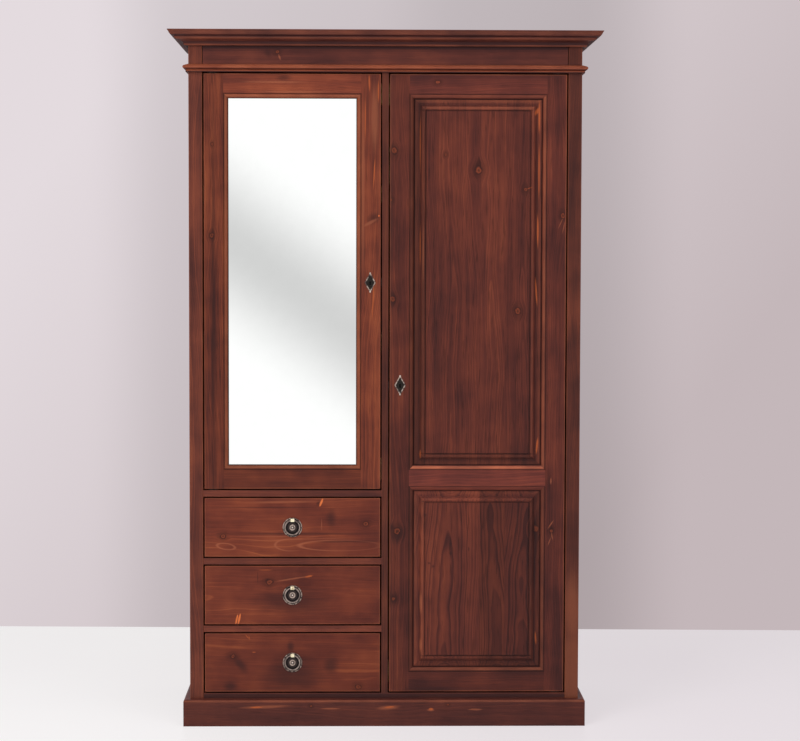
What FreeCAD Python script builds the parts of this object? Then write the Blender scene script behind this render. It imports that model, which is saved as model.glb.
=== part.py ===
import FreeCAD, Part
import math
import os
from types import SimpleNamespace

import Sketcher

# A two-door wardrobe in stained pine: a mirror door over three drawers on the left, and a tall
# panelled door on the right. X runs to the right seen from the front, and the front faces -Y. The
# origin is on the floor, under the middle of the wardrobe.
# Driving dimensions, in millimetres.
DIMENSIONS = {
    # The whole wardrobe, over the cornice
    "overall_width": 1200,
    "overall_depth": 600,
    "overall_height": 1940,
    # Posts, side frames and boards of the carcass
    "post_width": 38,
    "post_depth": 40,
    "post_chamfer": 1.5,
    "frame_thickness": 22,
    "rear_post_depth": 55,
    "board_thickness": 18,
    "partition_thickness": 18,
    "top_thickness": 18,
    "top_recess": 6,
    "back_thickness": 8,
    "base_reveal": 16,
    "rear_rail_thickness": 18,
    "side_rail_height": 82,
    "side_middle_rail_height": 73,
    "side_panel_thickness": 8,
    "side_groove_depth": 8,
    "panel_play": 0.5,
    "panel_fit": 0.15,
    # Mouldings round the front and sides
    "cornice_projection": 54,
    "cornice_height": 41,
    "frieze_height": 72,
    "astragal_projection": 15,
    "astragal_height": 21.5,
    "plinth_projection": 18,
    "plinth_height": 75,
    "plinth_round": 6,
    # Shelves, battens and the hanging rail
    "shelf_setback": 46,
    "batten_thickness": 18,
    "linen_batten_height": 30,
    "hat_batten_height": 90,
    "hat_shelf_drop": 306,
    "hanging_rail_radius": 12.5,
    "hanging_rail_drop": 60,
    "flange_radius": 25,
    "flange_thickness": 3,
    "socket_wall": 2.5,
    "socket_length": 12,
    "socket_fit": 0.15,
    # Gap round each door and drawer front
    "running_gap": 4,
    # Door frames and their inner moulding
    "door_thickness": 22,
    "door_flat_width": 54.5,
    "sticking_width": 13.5,
    "sticking_depth": 8,
    "sticking_quirk": 1.2,
    "panel_lip": 9,
    "panel_groove_depth": 9,
    "panel_tongue": 7,
    "panel_margin": 32.5,
    "panel_rise": 6.8,
    "bottom_rail_height": 70,
    "mid_rail_height": 73,
    "mid_rail_lift": 567,
    # Mirror and what holds it
    "mirror_thickness": 4,
    "mirror_rebate": 8,
    "backing_thickness": 4,
    "bead_width": 14,
    # Pivot hinges in the top and bottom edges of the doors
    "pivot_inset": 24,
    "pivot_plate_length": 24,
    "pivot_plate_width": 12,
    "pivot_plate_thickness": 2.5,
    "pivot_plate_proud": 1.6,
    "pivot_pin_radius": 3,
    "pivot_pin_depth": 8,
    "pivot_fit": 0.05,
    "pivot_relief": 1,
    "pivot_collar_radius": 5,
    "pivot_float": 0.3,
    # Stops behind the lock stiles
    "stop_width": 8,
    "stop_depth": 14,
    "stop_length": 60,
    "stop_inset": 24,
    "stop_gap": 0.4,
    # Locks, bolts and strikes
    "keyhole_inset": 29,
    "lock_width": 42,
    "lock_height": 52,
    "lock_depth": 12,
    "forend_height": 64,
    "forend_thickness": 1.5,
    "lock_back_wall": 2,
    "bolt_length": 22,
    "bolt_height": 18,
    "bolt_thickness": 6,
    "bolt_fit": 0.1,
    "strike_thickness": 2.6,
    "strike_height": 24,
    "strike_width": 14,
    "strike_clearance": 0.5,
    "mortise_depth": 8,
    "keyhole_radius": 3,
    "keyhole_slot_width": 3,
    "keyhole_drop": 6.5,
    "keyhole_toe_radius": 2,
    # Diamond escutcheons
    "escutcheon_width": 31,
    "escutcheon_height": 56,
    "escutcheon_plate": 1.2,
    "escutcheon_rim_width": 2.8,
    "escutcheon_rim_height": 2.3,
    "escutcheon_pin_radius": 2.2,
    "escutcheon_pin_height": 2.6,
    "escutcheon_boss_width": 11,
    "escutcheon_boss_height": 1.9,
    # Drawers
    "drawer_front_height": 165,
    "drawer_front_thickness": 20,
    "drawer_side_gap": 5,
    "drawer_side_thickness": 12,
    "drawer_side_height": 130,
    "drawer_length": 450,
    "drawer_bottom_thickness": 6,
    "drawer_bottom_lift": 8,
    "drawer_groove": 6,
    "runner_width": 36,
    "runner_float": 0.3,
    "guide_height": 20,
    "guide_gap": 1,
    "partition_runner_width": 24,
    # Ring pulls
    "rosette_radius": 27.5,
    "rosette_floor": 0.8,
    "rosette_rim_width": 3.4,
    "rosette_rim_height": 3,
    "dome_radius": 15,
    "dome_height": 4,
    "ring_radius": 20.5,
    "ring_wire_radius": 2.1,
    "ring_float": 0.7,
    "eye_width": 10.3,
    "eye_height": 8.6,
    "eye_front_wall": 1.3,
    "eye_bore_radius": 2.95,
    "stud_radius": 2.5,
    "stud_fit": 0.25,
    "nut_radius": 6,
    "nut_height": 5,
    # How far a cutter runs past what it cuts
    "overrun": 1,
}

# Profile of the cornice: shares of its projection and height, then how far the side that starts there
# rises over its chord, as a share of the chord.
CORNICE_SHARES = [
    (0.00, 0.00, 0),
    (0.11, 0.00, -0.25),
    (0.23, 0.13, 0),
    (0.26, 0.20, 0.12),
    (0.50, 0.37, 0),
    (0.56, 0.40, -0.16),
    (0.68, 0.59, 0),
    (0.74, 0.61, 0),
    (0.85, 0.66, -0.05),
    (0.96, 0.90, 0),
    (1.00, 0.95, 0),
    (1.00, 1.00, 0),
    (0.00, 1.00, 0),
]
# Profile of the astragal under the frieze, in the same kind of shares.
ASTRAGAL_SHARES = [
    (0.00, 0.00, 0),
    (0.47, 0.00, 0),
    (0.47, 0.24, 0),
    (0.38, 0.28, 0.10),
    (0.66, 0.38, -0.14),
    (1.00, 0.56, 0),
    (1.00, 0.64, -0.16),
    (0.70, 0.86, 0),
    (0.18, 1.00, 0),
    (0.00, 1.00, 0),
]
# Profile of a raised panel from the edge of its opening to its field: shares of the margin and the
# rise, then the same kind of rise, where a hollow is positive.
PANEL_SHARES = [
    (0.09, 0.00, 0),
    (0.36, 0.18, 0.16),
    (0.56, 0.50, 0),
    (0.60, 0.50, -0.16),
    (0.84, 0.84, 0),
    (0.91, 0.84, 0),
    (0.92, 0.60, 0),
    (0.98, 0.60, 0),
    (1.00, 1.00, 0),
]
# Profile of the dome in the middle of a rosette, from its foot to its centre: shares of its radius
# and height, then the same kind of rise.
DOME_SHARES = [
    (1.00, 0.00, 0.16),
    (0.86, 0.52, 0.06),
    (0.64, 0.66, 0),
    (0.60, 0.86, 0.20),
    (0.46, 0.92, 0),
    (0.24, 0.58, 0),
    (0.16, 0.58, 0.18),
    (0.09, 1.00, 0),
    (0.00, 1.00, 0),
]
# How far the rounded parts of the door frames, the plinth and the rosettes rise over their chords.
STICKING_RISE_SHARE = -0.18
PLINTH_RISE_SHARE = 0.2071
RIM_RISE_SHARE = 0.2
LINEN_SPACES = 3
DRAWER_COUNT = 3
QUARTER_TURN = 90
FULL_TURN = 360

doc = FreeCAD.newDocument("wardrobe")
sheet = doc.addObject("Spreadsheet::Sheet", "sizes")
for row, (alias, number) in enumerate(DIMENSIONS.items(), start=1):
    sheet.set(f"A{row}", alias.replace("_", " "))
    sheet.set(f"B{row}", str(number))
    sheet.setAlias(f"B{row}", alias)
doc.recompute()


class Size:
    """A length: its value now, and the formula over the sheet that gives it."""

    def __init__(self, value, formula):
        self.value = value
        self.formula = formula

    def __add__(self, other):
        other = as_size(other)
        return Size(self.value + other.value, f"({self.formula} + {other.formula})")

    def __sub__(self, other):
        other = as_size(other)
        return Size(self.value - other.value, f"({self.formula} - {other.formula})")

    def __mul__(self, other):
        other = as_size(other)
        return Size(self.value * other.value, f"({self.formula} * {other.formula})")

    def __truediv__(self, other):
        other = as_size(other)
        return Size(self.value / other.value, f"({self.formula} / {other.formula})")

    def __rsub__(self, other):
        return as_size(other) - self

    def __neg__(self):
        return as_size(0) - self

    __radd__ = __add__
    __rmul__ = __mul__


def as_size(number):
    """A plain number as a Size, and a Size as it is."""
    return number if isinstance(number, Size) else Size(number, str(number))


def hypotenuse(across, up):
    """The length of a slanted side."""
    return Size(math.hypot(across.value, up.value), f"sqrt({across.formula}^2 + {up.formula}^2)")


s = SimpleNamespace(**{alias: Size(sheet.get(alias), f"sizes.{alias}") for alias in DIMENSIONS})
ZERO = as_size(0)


# Makers of solids
def box(name, x, y, z):
    """A square board; x, y and z are each its (low, high)."""
    board = doc.addObject("Part::Box", name)
    for prop, axis, (low, high) in (("Length", "x", x), ("Width", "y", y), ("Height", "z", z)):
        board.setExpression(prop, (high - low).formula)
        board.setExpression(f"Placement.Base.{axis}", as_size(low).formula)
    return board


def cylinder(name, axis, centre, span, radius):
    """A round bar along an axis; centre is its place on the other two axes, and span its (low, high)."""
    bar = doc.addObject("Part::Cylinder", name)
    turns = {
        "x": FreeCAD.Rotation(FreeCAD.Vector(0, 1, 0), QUARTER_TURN),
        "y": FreeCAD.Rotation(FreeCAD.Vector(1, 0, 0), -QUARTER_TURN),
        "z": FreeCAD.Rotation(),
    }
    bar.Placement = FreeCAD.Placement(FreeCAD.Vector(), turns[axis])
    low, high = span
    places = dict(zip([a for a in "xyz" if a != axis], centre))
    places[axis] = low
    for place, value in places.items():
        bar.setExpression(f"Placement.Base.{place}", as_size(value).formula)
    bar.setExpression("Radius", radius.formula)
    bar.setExpression("Height", (high - low).formula)
    return bar


def draw(sketch, corners):
    """A closed outline; a corner is (across, up), with a rise share when the side after it is an arc."""
    count = len(corners)
    corners = [(as_size(c[0]), as_size(c[1]), c[2] if len(c) > 2 else 0) for c in corners]
    ends = []
    for number, (x, y, rise) in enumerate(corners):
        next_x, next_y, _ = corners[(number + 1) % count]
        start = FreeCAD.Vector(x.value, y.value)
        end = FreeCAD.Vector(next_x.value, next_y.value)
        if not rise:
            sketch.addGeometry(Part.LineSegment(start, end), False)
            ends.append((1, 2))
            continue
        along = end - start
        crown = (start + end) / 2 + FreeCAD.Vector(-along.y, along.x) * rise
        sketch.addGeometry(Part.Arc(start, crown, end), False)
        ends.append((2, 1) if rise > 0 else (1, 2))
    for number, (x, y, rise) in enumerate(corners):
        follower = (number + 1) % count
        first, last = ends[number]
        join = Sketcher.Constraint("Coincident", number, last, follower, ends[follower][0])
        sketch.addConstraint(join)
        for kind, axis_line, size in (("DistanceX", -2, x), ("DistanceY", -1, y)):
            if size.formula == "0":
                sketch.addConstraint(Sketcher.Constraint("PointOnObject", number, first, axis_line))
                continue
            where = Sketcher.Constraint(kind, -1, 1, number, first, size.value)
            sketch.setExpression(f"Constraints[{sketch.addConstraint(where)}]", size.formula)
        if rise:
            next_x, next_y, _ = corners[follower]
            radius = hypotenuse(next_x - x, next_y - y) * ((rise * rise + 1 / 4) / (2 * abs(rise)))
            bend = sketch.addConstraint(Sketcher.Constraint("Radius", number, radius.value))
            sketch.setExpression(f"Constraints[{bend}]", radius.formula)


def new_body(name, plane, corners):
    """A body with an outline drawn on one of its own origin planes."""
    body = doc.addObject("PartDesign::Body", name)
    sketch = body.newObject("Sketcher::SketchObject", name + "_outline")
    ground = next(f for f in body.Origin.OriginFeatures if f.Role == plane)
    sketch.AttachmentSupport = [(ground, "")]
    sketch.MapMode = "FlatFace"
    draw(sketch, corners)
    return body, sketch


def prism(name, axis, corners, low, high):
    """An outline pushed along an axis. It is drawn in the other two axes, in X, Y, Z order."""
    plane = {"x": "YZ_Plane", "y": "XZ_Plane", "z": "XY_Plane"}[axis]
    body, sketch = new_body(name, plane, corners)
    pad = body.newObject("PartDesign::Pad", name + "_pad")
    pad.Profile = sketch
    sketch.Visibility = False
    pad.setExpression("Length", (high - low).formula)
    # A pad on the XZ plane grows towards -Y, so it starts at its high end.
    start = high if axis == "y" else low
    body.setExpression(f"Placement.Base.{axis}", as_size(start).formula)
    return body


def turned(name, corners, x, y, z):
    """A round piece facing -Y; corners are (radius, -height), and (x, y, z) is the middle of its back."""
    body, sketch = new_body(name, "XY_Plane", corners)
    turning = body.newObject("PartDesign::Revolution", name + "_turning")
    turning.Profile = sketch
    turning.ReferenceAxis = (sketch, ["V_Axis"])
    turning.Angle = FULL_TURN
    sketch.Visibility = False
    for axis, place in (("x", x), ("y", y), ("z", z)):
        body.setExpression(f"Placement.Base.{axis}", as_size(place).formula)
    return body


def joined(name, pieces):
    """One solid from pieces that touch or overlap."""
    whole = doc.addObject("Part::MultiFuse", name)
    whole.Shapes = pieces
    return whole


def cut(name, blank, cutters):
    """A blank with each cutter taken out of it."""
    for number, cutter in enumerate(cutters, start=1):
        last = number == len(cutters)
        rest = doc.addObject("Part::Cut", name if last else f"{name}_cut_{number}")
        rest.Base = blank
        rest.Tool = cutter
        blank = rest
    return blank


def common(name, first, second):
    """What two solids share."""
    shared = doc.addObject("Part::MultiCommon", name)
    shared.Shapes = [first, second]
    return shared


def mirrored(name, source):
    """The same piece on the other side of the wardrobe's middle."""
    other = doc.addObject("Part::Mirroring", name)
    other.Source = source
    other.Normal = FreeCAD.Vector(1, 0, 0)
    return other


def group(name, pieces):
    """Separate like pieces under one name."""
    bundle = doc.addObject("Part::Compound", name)
    bundle.Links = pieces
    return bundle


def pair(name, source):
    """A left-hand piece and its mirror image under one name."""
    return group(name, [source, mirrored(name + "_right", source)])


nodes = []


def node(part):
    """Marks a finished sub-part, which is written out under its label."""
    nodes.append(part)
    return part


# Planes that the pieces share
carcass_left = -(s.overall_width / 2 - s.cornice_projection)
front = -(s.overall_depth / 2 - s.cornice_projection)
back = s.overall_depth / 2
opening_left = carcass_left + s.post_width
inside_left = carcass_left + s.frame_thickness
partition_left = -(s.partition_thickness / 2)
post_back = front + s.post_depth
rear_post_front = back - s.rear_post_depth
back_panel_front = back - s.back_thickness
shelf_front = front + s.shelf_setback
base_top = s.plinth_height + s.base_reveal
base_bottom = base_top - s.board_thickness
cornice_bottom = s.overall_height - s.cornice_height
frieze_bottom = cornice_bottom - s.frieze_height
top_bottom = s.overall_height - s.top_recess - s.top_thickness
storey = s.drawer_front_height + 2 * s.running_gap
drawer_floors = [base_top + number * (storey + s.board_thickness) for number in range(DRAWER_COUNT)]
deck_bottom = drawer_floors[-1] + storey
deck_top = deck_bottom + s.board_thickness
door_left = opening_left + s.running_gap
door_right = partition_left - s.running_gap
door_back = front + s.door_thickness
door_top = frieze_bottom - s.running_gap
mirror_door_bottom = deck_top + s.running_gap
panel_door_bottom = base_top + s.running_gap
door_edge_width = s.door_flat_width + s.sticking_width
mid_rail_bottom = panel_door_bottom + s.mid_rail_lift
mid_rail_top = mid_rail_bottom + s.mid_rail_height
mirror_lock_level = (mirror_door_bottom + door_top) / 2
panel_lock_level = (panel_door_bottom + door_top) / 2
lock_centre_y = door_back - s.lock_depth / 2
keyhole_x = door_right - s.keyhole_inset
pivot_x = door_left + s.pivot_inset
pivot_y = front + s.door_thickness / 2


# Pivot plates and their seats, needed by the boards that hold them
def pivot_plate(name, z):
    """One plate of a pivot hinge, in the edge of a door or of the board above or below it."""
    half_length = s.pivot_plate_length / 2
    half_width = s.pivot_plate_width / 2
    x = (pivot_x - half_length, pivot_x + half_length)
    return box(name, x, (pivot_y - half_width, pivot_y + half_width), z)


def pivot_relief(name, z):
    """The hole in the wood round the end of a pivot pin."""
    return cylinder(name, "z", (pivot_x, pivot_y), z, s.pivot_pin_radius + s.pivot_relief)


def frame_pivot(name, face, up):
    """The frame's plate at a board face and the cutters for its seat; up is 1 above a door, -1 below."""
    sunk = face + up * s.pivot_plate_thickness
    proud = face - up * s.pivot_plate_proud
    low, high = (proud, sunk) if up > 0 else (sunk, proud)
    bored_low, bored_high = low - s.overrun, high + s.overrun
    bore_radius = s.pivot_pin_radius + s.pivot_fit
    bore = cylinder(name + "_bore", "z", (pivot_x, pivot_y), (bored_low, bored_high), bore_radius)
    plate = cut(name, pivot_plate(name + "_blank", (low, high)), [bore])
    end = face + up * (s.pivot_pin_depth + s.pivot_relief)
    hole = pivot_relief(name + "_relief", (face, end) if up > 0 else (end, face))
    seat = pivot_plate(name + "_seat", (face, sunk) if up > 0 else (sunk, face))
    return plate, [seat, hole]


def door_pivot(name, edge, up):
    """The door's plate, collar and pin at its top or bottom edge; up is 1 at the top, -1 at the bottom."""
    sunk = edge - up * s.pivot_plate_thickness
    plate = pivot_plate(name + "_plate", (sunk, edge) if up > 0 else (edge, sunk))
    collar_end = edge + up * (s.running_gap - s.pivot_plate_proud - s.pivot_float)
    pin_end = edge + up * (s.running_gap + s.pivot_pin_depth)
    place = (pivot_x, pivot_y)
    collar_span = (sunk, collar_end) if up > 0 else (collar_end, sunk)
    pin_span = (sunk, pin_end) if up > 0 else (pin_end, sunk)
    collar = cylinder(name + "_collar", "z", place, collar_span, s.pivot_collar_radius)
    pin = cylinder(name + "_pin", "z", place, pin_span, s.pivot_pin_radius)
    return joined(name, [plate, collar, pin])


frieze_pivot, frieze_seats = frame_pivot("frieze_pivot_plate", frieze_bottom, 1)
deck_pivot, deck_seats = frame_pivot("deck_pivot_plate", deck_top, -1)
base_pivot, base_seats = frame_pivot("base_pivot_plate", base_top, -1)
right_frieze_pivot = mirrored("frieze_pivot_plate_right", frieze_pivot)
right_base_pivot = mirrored("base_pivot_plate_right", base_pivot)
node(group("frame_pivot_plates", [frieze_pivot, deck_pivot, right_frieze_pivot, right_base_pivot]))


# Side frames
groove_low = carcass_left + (s.frame_thickness - s.side_panel_thickness) / 2
groove_x = (groove_low, groove_low + s.side_panel_thickness)
side_y = (post_back, rear_post_front)
tongue_y = (post_back - s.side_groove_depth, rear_post_front + s.side_groove_depth)
side_rail_levels = [
    (s.plinth_height / 2, s.plinth_height + s.side_rail_height),
    (mid_rail_bottom, mid_rail_bottom + s.side_middle_rail_height),
    (cornice_bottom - s.side_rail_height, top_bottom),
]
groove_z = (side_rail_levels[0][0], top_bottom)


def front_post():
    """A front corner post with its front edges eased and a groove for the side panels."""
    left, right, ease = carcass_left, opening_left, s.post_chamfer
    corners = [
        (left + ease, front),
        (right - ease, front),
        (right, front + ease),
        (right, post_back),
        (left, post_back),
        (left, front + ease),
    ]
    blank = prism("front_post_blank", "z", corners, ZERO, top_bottom)
    groove = box("front_post_groove", groove_x, (tongue_y[0], post_back), groove_z)
    return cut("left_front_post", blank, [groove])


def rear_post():
    """A rear corner post, as thick as the side rails."""
    blank = box("rear_post_blank", (carcass_left, inside_left), (rear_post_front, back), (ZERO, top_bottom))
    groove = box("rear_post_groove", groove_x, (rear_post_front, tongue_y[1]), groove_z)
    return cut("rear_post", blank, [groove])


def side_rail(number, low, high):
    """A side rail with a tongue into each post and a groove where a panel meets it."""
    name = f"side_rail_{number}"
    body = box(name + "_body", (carcass_left, inside_left), side_y, (low, high))
    tongue = box(name + "_tongue", groove_x, tongue_y, (low, high))
    grooves = []
    if number > 0:
        grooves.append(box(name + "_groove_low", groove_x, tongue_y, (low, low + s.side_groove_depth)))
    if number < len(side_rail_levels) - 1:
        grooves.append(box(name + "_groove_high", groove_x, tongue_y, (high - s.side_groove_depth, high)))
    return cut(name, joined(name + "_whole", [body, tongue]), grooves)


def side_panel(number):
    """A flat panel that floats in the grooves between two side rails."""
    reach = s.side_groove_depth - s.panel_play
    low = side_rail_levels[number][1] - reach
    high = side_rail_levels[number + 1][0] + reach
    x = (groove_x[0] + s.panel_fit, groove_x[1] - s.panel_fit)
    return box(f"side_panel_{number}", x, (post_back - reach, rear_post_front + reach), (low, high))


left_post = node(front_post())
node(mirrored("right_front_post", left_post))
node(pair("rear_posts", rear_post()))
side_rails = [side_rail(number, *level) for number, level in enumerate(side_rail_levels)]
left_rails = node(group("left_side_rails", side_rails))
node(mirrored("right_side_rails", left_rails))
side_panels = [side_panel(number) for number in range(len(side_rail_levels) - 1)]
left_panels = node(group("left_side_panels", side_panels))
node(mirrored("right_side_panels", left_panels))


# Mouldings mitred round the front corners
def moulding(name, corners, projection, low):
    """A front moulding and its two returns from a profile whose corners are (outwards, up, rise share)."""
    outer_left = carcass_left - projection
    outer_front = front - projection
    height = s.overall_height
    face = [(front - out, low + up, -rise) for out, up, rise in corners]
    run = prism(name + "_run", "x", face, outer_left, -outer_left)
    plan = [
        (outer_left, outer_front),
        (-outer_left, outer_front),
        (-carcass_left, front),
        (carcass_left, front),
    ]
    mitre = prism(name + "_mitre", "z", plan, ZERO, height)
    node(common(name + "_front", run, mitre))
    flank = [(carcass_left - out, low + up, -rise) for out, up, rise in corners]
    side_run = prism(name + "_side_run", "y", flank, outer_front, back)
    side_plan = [
        (outer_left, outer_front),
        (carcass_left, front),
        (carcass_left, back),
        (outer_left, back),
    ]
    side_mitre = prism(name + "_side_mitre", "z", side_plan, ZERO, height)
    node(pair(name + "_returns", common(name + "_return", side_run, side_mitre)))


def scaled(shares, projection, height):
    """A profile in shares at its real projection and height."""
    return [(out * projection, up * height, rise) for out, up, rise in shares]


plinth_profile = [
    (ZERO, ZERO, 0),
    (s.plinth_projection, ZERO, 0),
    (s.plinth_projection, s.plinth_height - s.plinth_round, -PLINTH_RISE_SHARE),
    (s.plinth_projection - s.plinth_round, s.plinth_height, 0),
    (ZERO, s.plinth_height, 0),
]
cornice_profile = scaled(CORNICE_SHARES, s.cornice_projection, s.cornice_height)
astragal_profile = scaled(ASTRAGAL_SHARES, s.astragal_projection, s.astragal_height)
moulding("cornice", cornice_profile, s.cornice_projection, cornice_bottom)
moulding("astragal", astragal_profile, s.astragal_projection, frieze_bottom)
moulding("plinth", plinth_profile, s.plinth_projection, ZERO)


# Rails and boards of the carcass
def frieze_rail():
    """The rail over the doors, with its ends eased where it meets the posts."""
    ease = s.post_chamfer
    rail_back = front + s.frame_thickness
    corners = [
        (opening_left + ease, front),
        (-opening_left - ease, front),
        (-opening_left, front + ease),
        (-opening_left, rail_back),
        (opening_left, rail_back),
        (opening_left, front + ease),
    ]
    blank = prism("frieze_rail_blank", "z", corners, frieze_bottom, top_bottom)
    right_seats = [mirrored(seat.Name + "_right", seat) for seat in frieze_seats]
    return cut("frieze_rail", blank, frieze_seats + right_seats)


def base_board():
    """The bottom board, notched round the front posts."""
    corners = [
        (opening_left, front),
        (-opening_left, front),
        (-opening_left, post_back),
        (-inside_left, post_back),
        (-inside_left, back_panel_front),
        (inside_left, back_panel_front),
        (inside_left, post_back),
        (opening_left, post_back),
    ]
    blank = prism("bottom_panel_blank", "z", corners, base_bottom, base_top)
    return cut("bottom_panel", blank, [mirrored(seat.Name + "_right", seat) for seat in base_seats])


def drawer_deck():
    """The board over the drawers, notched round the left front post."""
    corners = [
        (opening_left, front),
        (partition_left, front),
        (partition_left, back_panel_front),
        (inside_left, back_panel_front),
        (inside_left, post_back),
        (opening_left, post_back),
    ]
    return cut("drawer_deck", prism("drawer_deck_blank", "z", corners, deck_bottom, deck_top), deck_seats)


def bolt_mortise(name, level):
    """The hole in the partition that a bolt enters."""
    half_height = s.bolt_height / 2 + s.strike_clearance
    half_width = s.bolt_thickness / 2 + s.strike_clearance
    x = (partition_left, partition_left + s.mortise_depth)
    y = (lock_centre_y - half_width, lock_centre_y + half_width)
    return box(name, x, y, (level - half_height, level + half_height))


def partition():
    """The upright board between the two doors, notched behind the frieze rail."""
    rail_back = front + s.frame_thickness
    corners = [
        (front, base_top),
        (back_panel_front, base_top),
        (back_panel_front, top_bottom),
        (rail_back, top_bottom),
        (rail_back, frieze_bottom),
        (front, frieze_bottom),
    ]
    blank = prism("centre_partition_blank", "x", corners, partition_left, -partition_left)
    left_mortise = bolt_mortise("mirror_bolt_mortise", mirror_lock_level)
    right_mortise = mirrored("panel_bolt_mortise", bolt_mortise("panel_bolt_mortise_left", panel_lock_level))
    return cut("centre_partition", blank, [left_mortise, right_mortise])


def strike(name, level):
    """The plate on the partition that a bolt passes through."""
    half_height, half_width = s.strike_height / 2, s.strike_width / 2
    x = (partition_left - s.strike_thickness, partition_left)
    y = (lock_centre_y - half_width, lock_centre_y + half_width)
    blank = box(name + "_blank", x, y, (level - half_height, level + half_height))
    slot_height = s.bolt_height / 2 + s.strike_clearance
    slot_width = s.bolt_thickness / 2 + s.strike_clearance
    slot_x = (x[0] - s.overrun, x[1] + s.overrun)
    slot_y = (lock_centre_y - slot_width, lock_centre_y + slot_width)
    slot = box(name + "_slot", slot_x, slot_y, (level - slot_height, level + slot_height))
    return cut(name, blank, [slot])


node(frieze_rail())
top_z = (top_bottom, top_bottom + s.top_thickness)
node(box("top_panel", (carcass_left, -carcass_left), (front, back), top_z))
node(base_board())
rear_rail_y = (back_panel_front - s.rear_rail_thickness, back_panel_front)
node(box("plinth_rear_rail", (inside_left, -inside_left), rear_rail_y, (ZERO, base_bottom)))
node(partition())
node(drawer_deck())
left_back = box("left_back_panel", (inside_left, ZERO), (back_panel_front, back), (ZERO, top_bottom))
node(pair("back_panels", left_back))
left_strike = strike("mirror_strike_plate", mirror_lock_level)
right_strike = mirrored("panel_strike_plate", strike("panel_strike_plate_left", panel_lock_level))
node(group("strike_plates", [left_strike, right_strike]))


# Shelves, battens and the hanging rail
linen_space = (top_bottom - deck_top) / LINEN_SPACES
linen_levels = [deck_top + number * linen_space for number in range(1, LINEN_SPACES)]
hat_shelf_bottom = top_bottom - s.hat_shelf_drop
hanging_rail_z = hat_shelf_bottom - s.hanging_rail_drop
hanging_rail_y = (shelf_front + back_panel_front) / 2


def batten_pair(name, top, height):
    """Two battens under a shelf in the left half: one on the side frame, one on the partition."""
    side_x = (inside_left, inside_left + s.batten_thickness)
    partition_x = (partition_left - s.batten_thickness, partition_left)
    spots = enumerate((side_x, partition_x))
    return [box(f"{name}_{number}", x, side_y, (top - height, top)) for number, x in spots]


def flange(name, face):
    """A round socket on a batten face of the left half, opening towards +X."""
    place = (hanging_rail_y, hanging_rail_z)
    plate = cylinder(name + "_plate", "x", place, (face, face + s.flange_thickness), s.flange_radius)
    outer = s.hanging_rail_radius + s.socket_fit + s.socket_wall
    end = face + s.flange_thickness + s.socket_length
    collar = cylinder(name + "_collar", "x", place, (face, end), outer)
    hollow_span = (face + s.flange_thickness, end + s.overrun)
    hollow = cylinder(name + "_hollow", "x", place, hollow_span, s.hanging_rail_radius + s.socket_fit)
    return cut(name, joined(name + "_whole", [plate, collar]), [hollow])


linen_shelves = []
linen_battens = []
for number, level in enumerate(linen_levels, start=1):
    shelf_z = (level, level + s.board_thickness)
    name = f"linen_shelf_{number}"
    linen_shelves.append(box(name, (inside_left, partition_left), (shelf_front, back_panel_front), shelf_z))
    linen_battens += batten_pair(f"linen_batten_{number}", level, s.linen_batten_height)
node(group("linen_shelves", linen_shelves))
hat_z = (hat_shelf_bottom, hat_shelf_bottom + s.board_thickness)
node(box("hat_shelf", (-partition_left, -inside_left), (shelf_front, back_panel_front), hat_z))
hat_battens = batten_pair("hat_batten_left", hat_shelf_bottom, s.hat_batten_height)
right_battens = [mirrored(f"hat_batten_{number}", batten) for number, batten in enumerate(hat_battens)]
node(group("shelf_battens", linen_battens + right_battens))
rail_left = -partition_left + s.batten_thickness
rail_right = -inside_left - s.batten_thickness
rail_span = (rail_left + s.flange_thickness, rail_right - s.flange_thickness)
node(cylinder("hanging_rail", "x", (hanging_rail_y, hanging_rail_z), rail_span, s.hanging_rail_radius))
inner_flange = flange("inner_flange", rail_left)
outer_flange = mirrored("outer_flange", flange("outer_flange_left", -rail_right))
node(group("rail_flanges", [inner_flange, outer_flange]))


# Door stops on the partition, in the left half
def door_stop(name, low):
    """A block on the partition that a lock stile closes against."""
    y = (door_back + s.stop_gap, door_back + s.stop_gap + s.stop_depth)
    return box(name, (partition_left - s.stop_width, partition_left), y, (low, low + s.stop_length))


high_stop = door_top - s.stop_inset - s.stop_length
mirror_stops = [
    door_stop("mirror_stop_low", mirror_door_bottom + s.stop_inset),
    door_stop("mirror_stop_high", high_stop),
]
panel_stops = [
    mirrored("panel_stop_low", door_stop("panel_stop_low_left", panel_door_bottom + s.stop_inset)),
    mirrored("panel_stop_high", mirror_stops[1]),
]
node(group("door_stops", mirror_stops + panel_stops))


# Door frames, all drawn in the left half
def grooved_edge(side, depth):
    """The inner edge of a frame member, from the front: an ovolo and a groove for panels."""
    width = door_edge_width
    groove_back = s.panel_lip + s.panel_tongue + 2 * s.panel_fit
    return [
        side(s.door_flat_width, depth(ZERO), 0),
        side(s.door_flat_width, depth(s.sticking_quirk), STICKING_RISE_SHARE),
        side(width, depth(s.sticking_depth), 0),
        side(width, depth(s.panel_lip), 0),
        side(width - s.panel_groove_depth, depth(s.panel_lip), 0),
        side(width - s.panel_groove_depth, depth(groove_back), 0),
        side(width, depth(groove_back), 0),
        side(width, depth(s.door_thickness), 0),
    ]


def rebated_edge(side, depth):
    """The inner edge of a frame member, from the front: an ovolo and a rebate for the mirror."""
    width = door_edge_width
    return [
        side(s.door_flat_width, depth(ZERO), 0),
        side(s.door_flat_width, depth(s.sticking_quirk), STICKING_RISE_SHARE),
        side(width, depth(s.sticking_depth), 0),
        side(width, depth(s.panel_lip), 0),
        side(width - s.mirror_rebate, depth(s.panel_lip), 0),
        side(width - s.mirror_rebate, depth(s.door_thickness), 0),
    ]


def at_depth(depth):
    """A depth behind the front of the doors as a place on Y."""
    return front + depth


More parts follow.
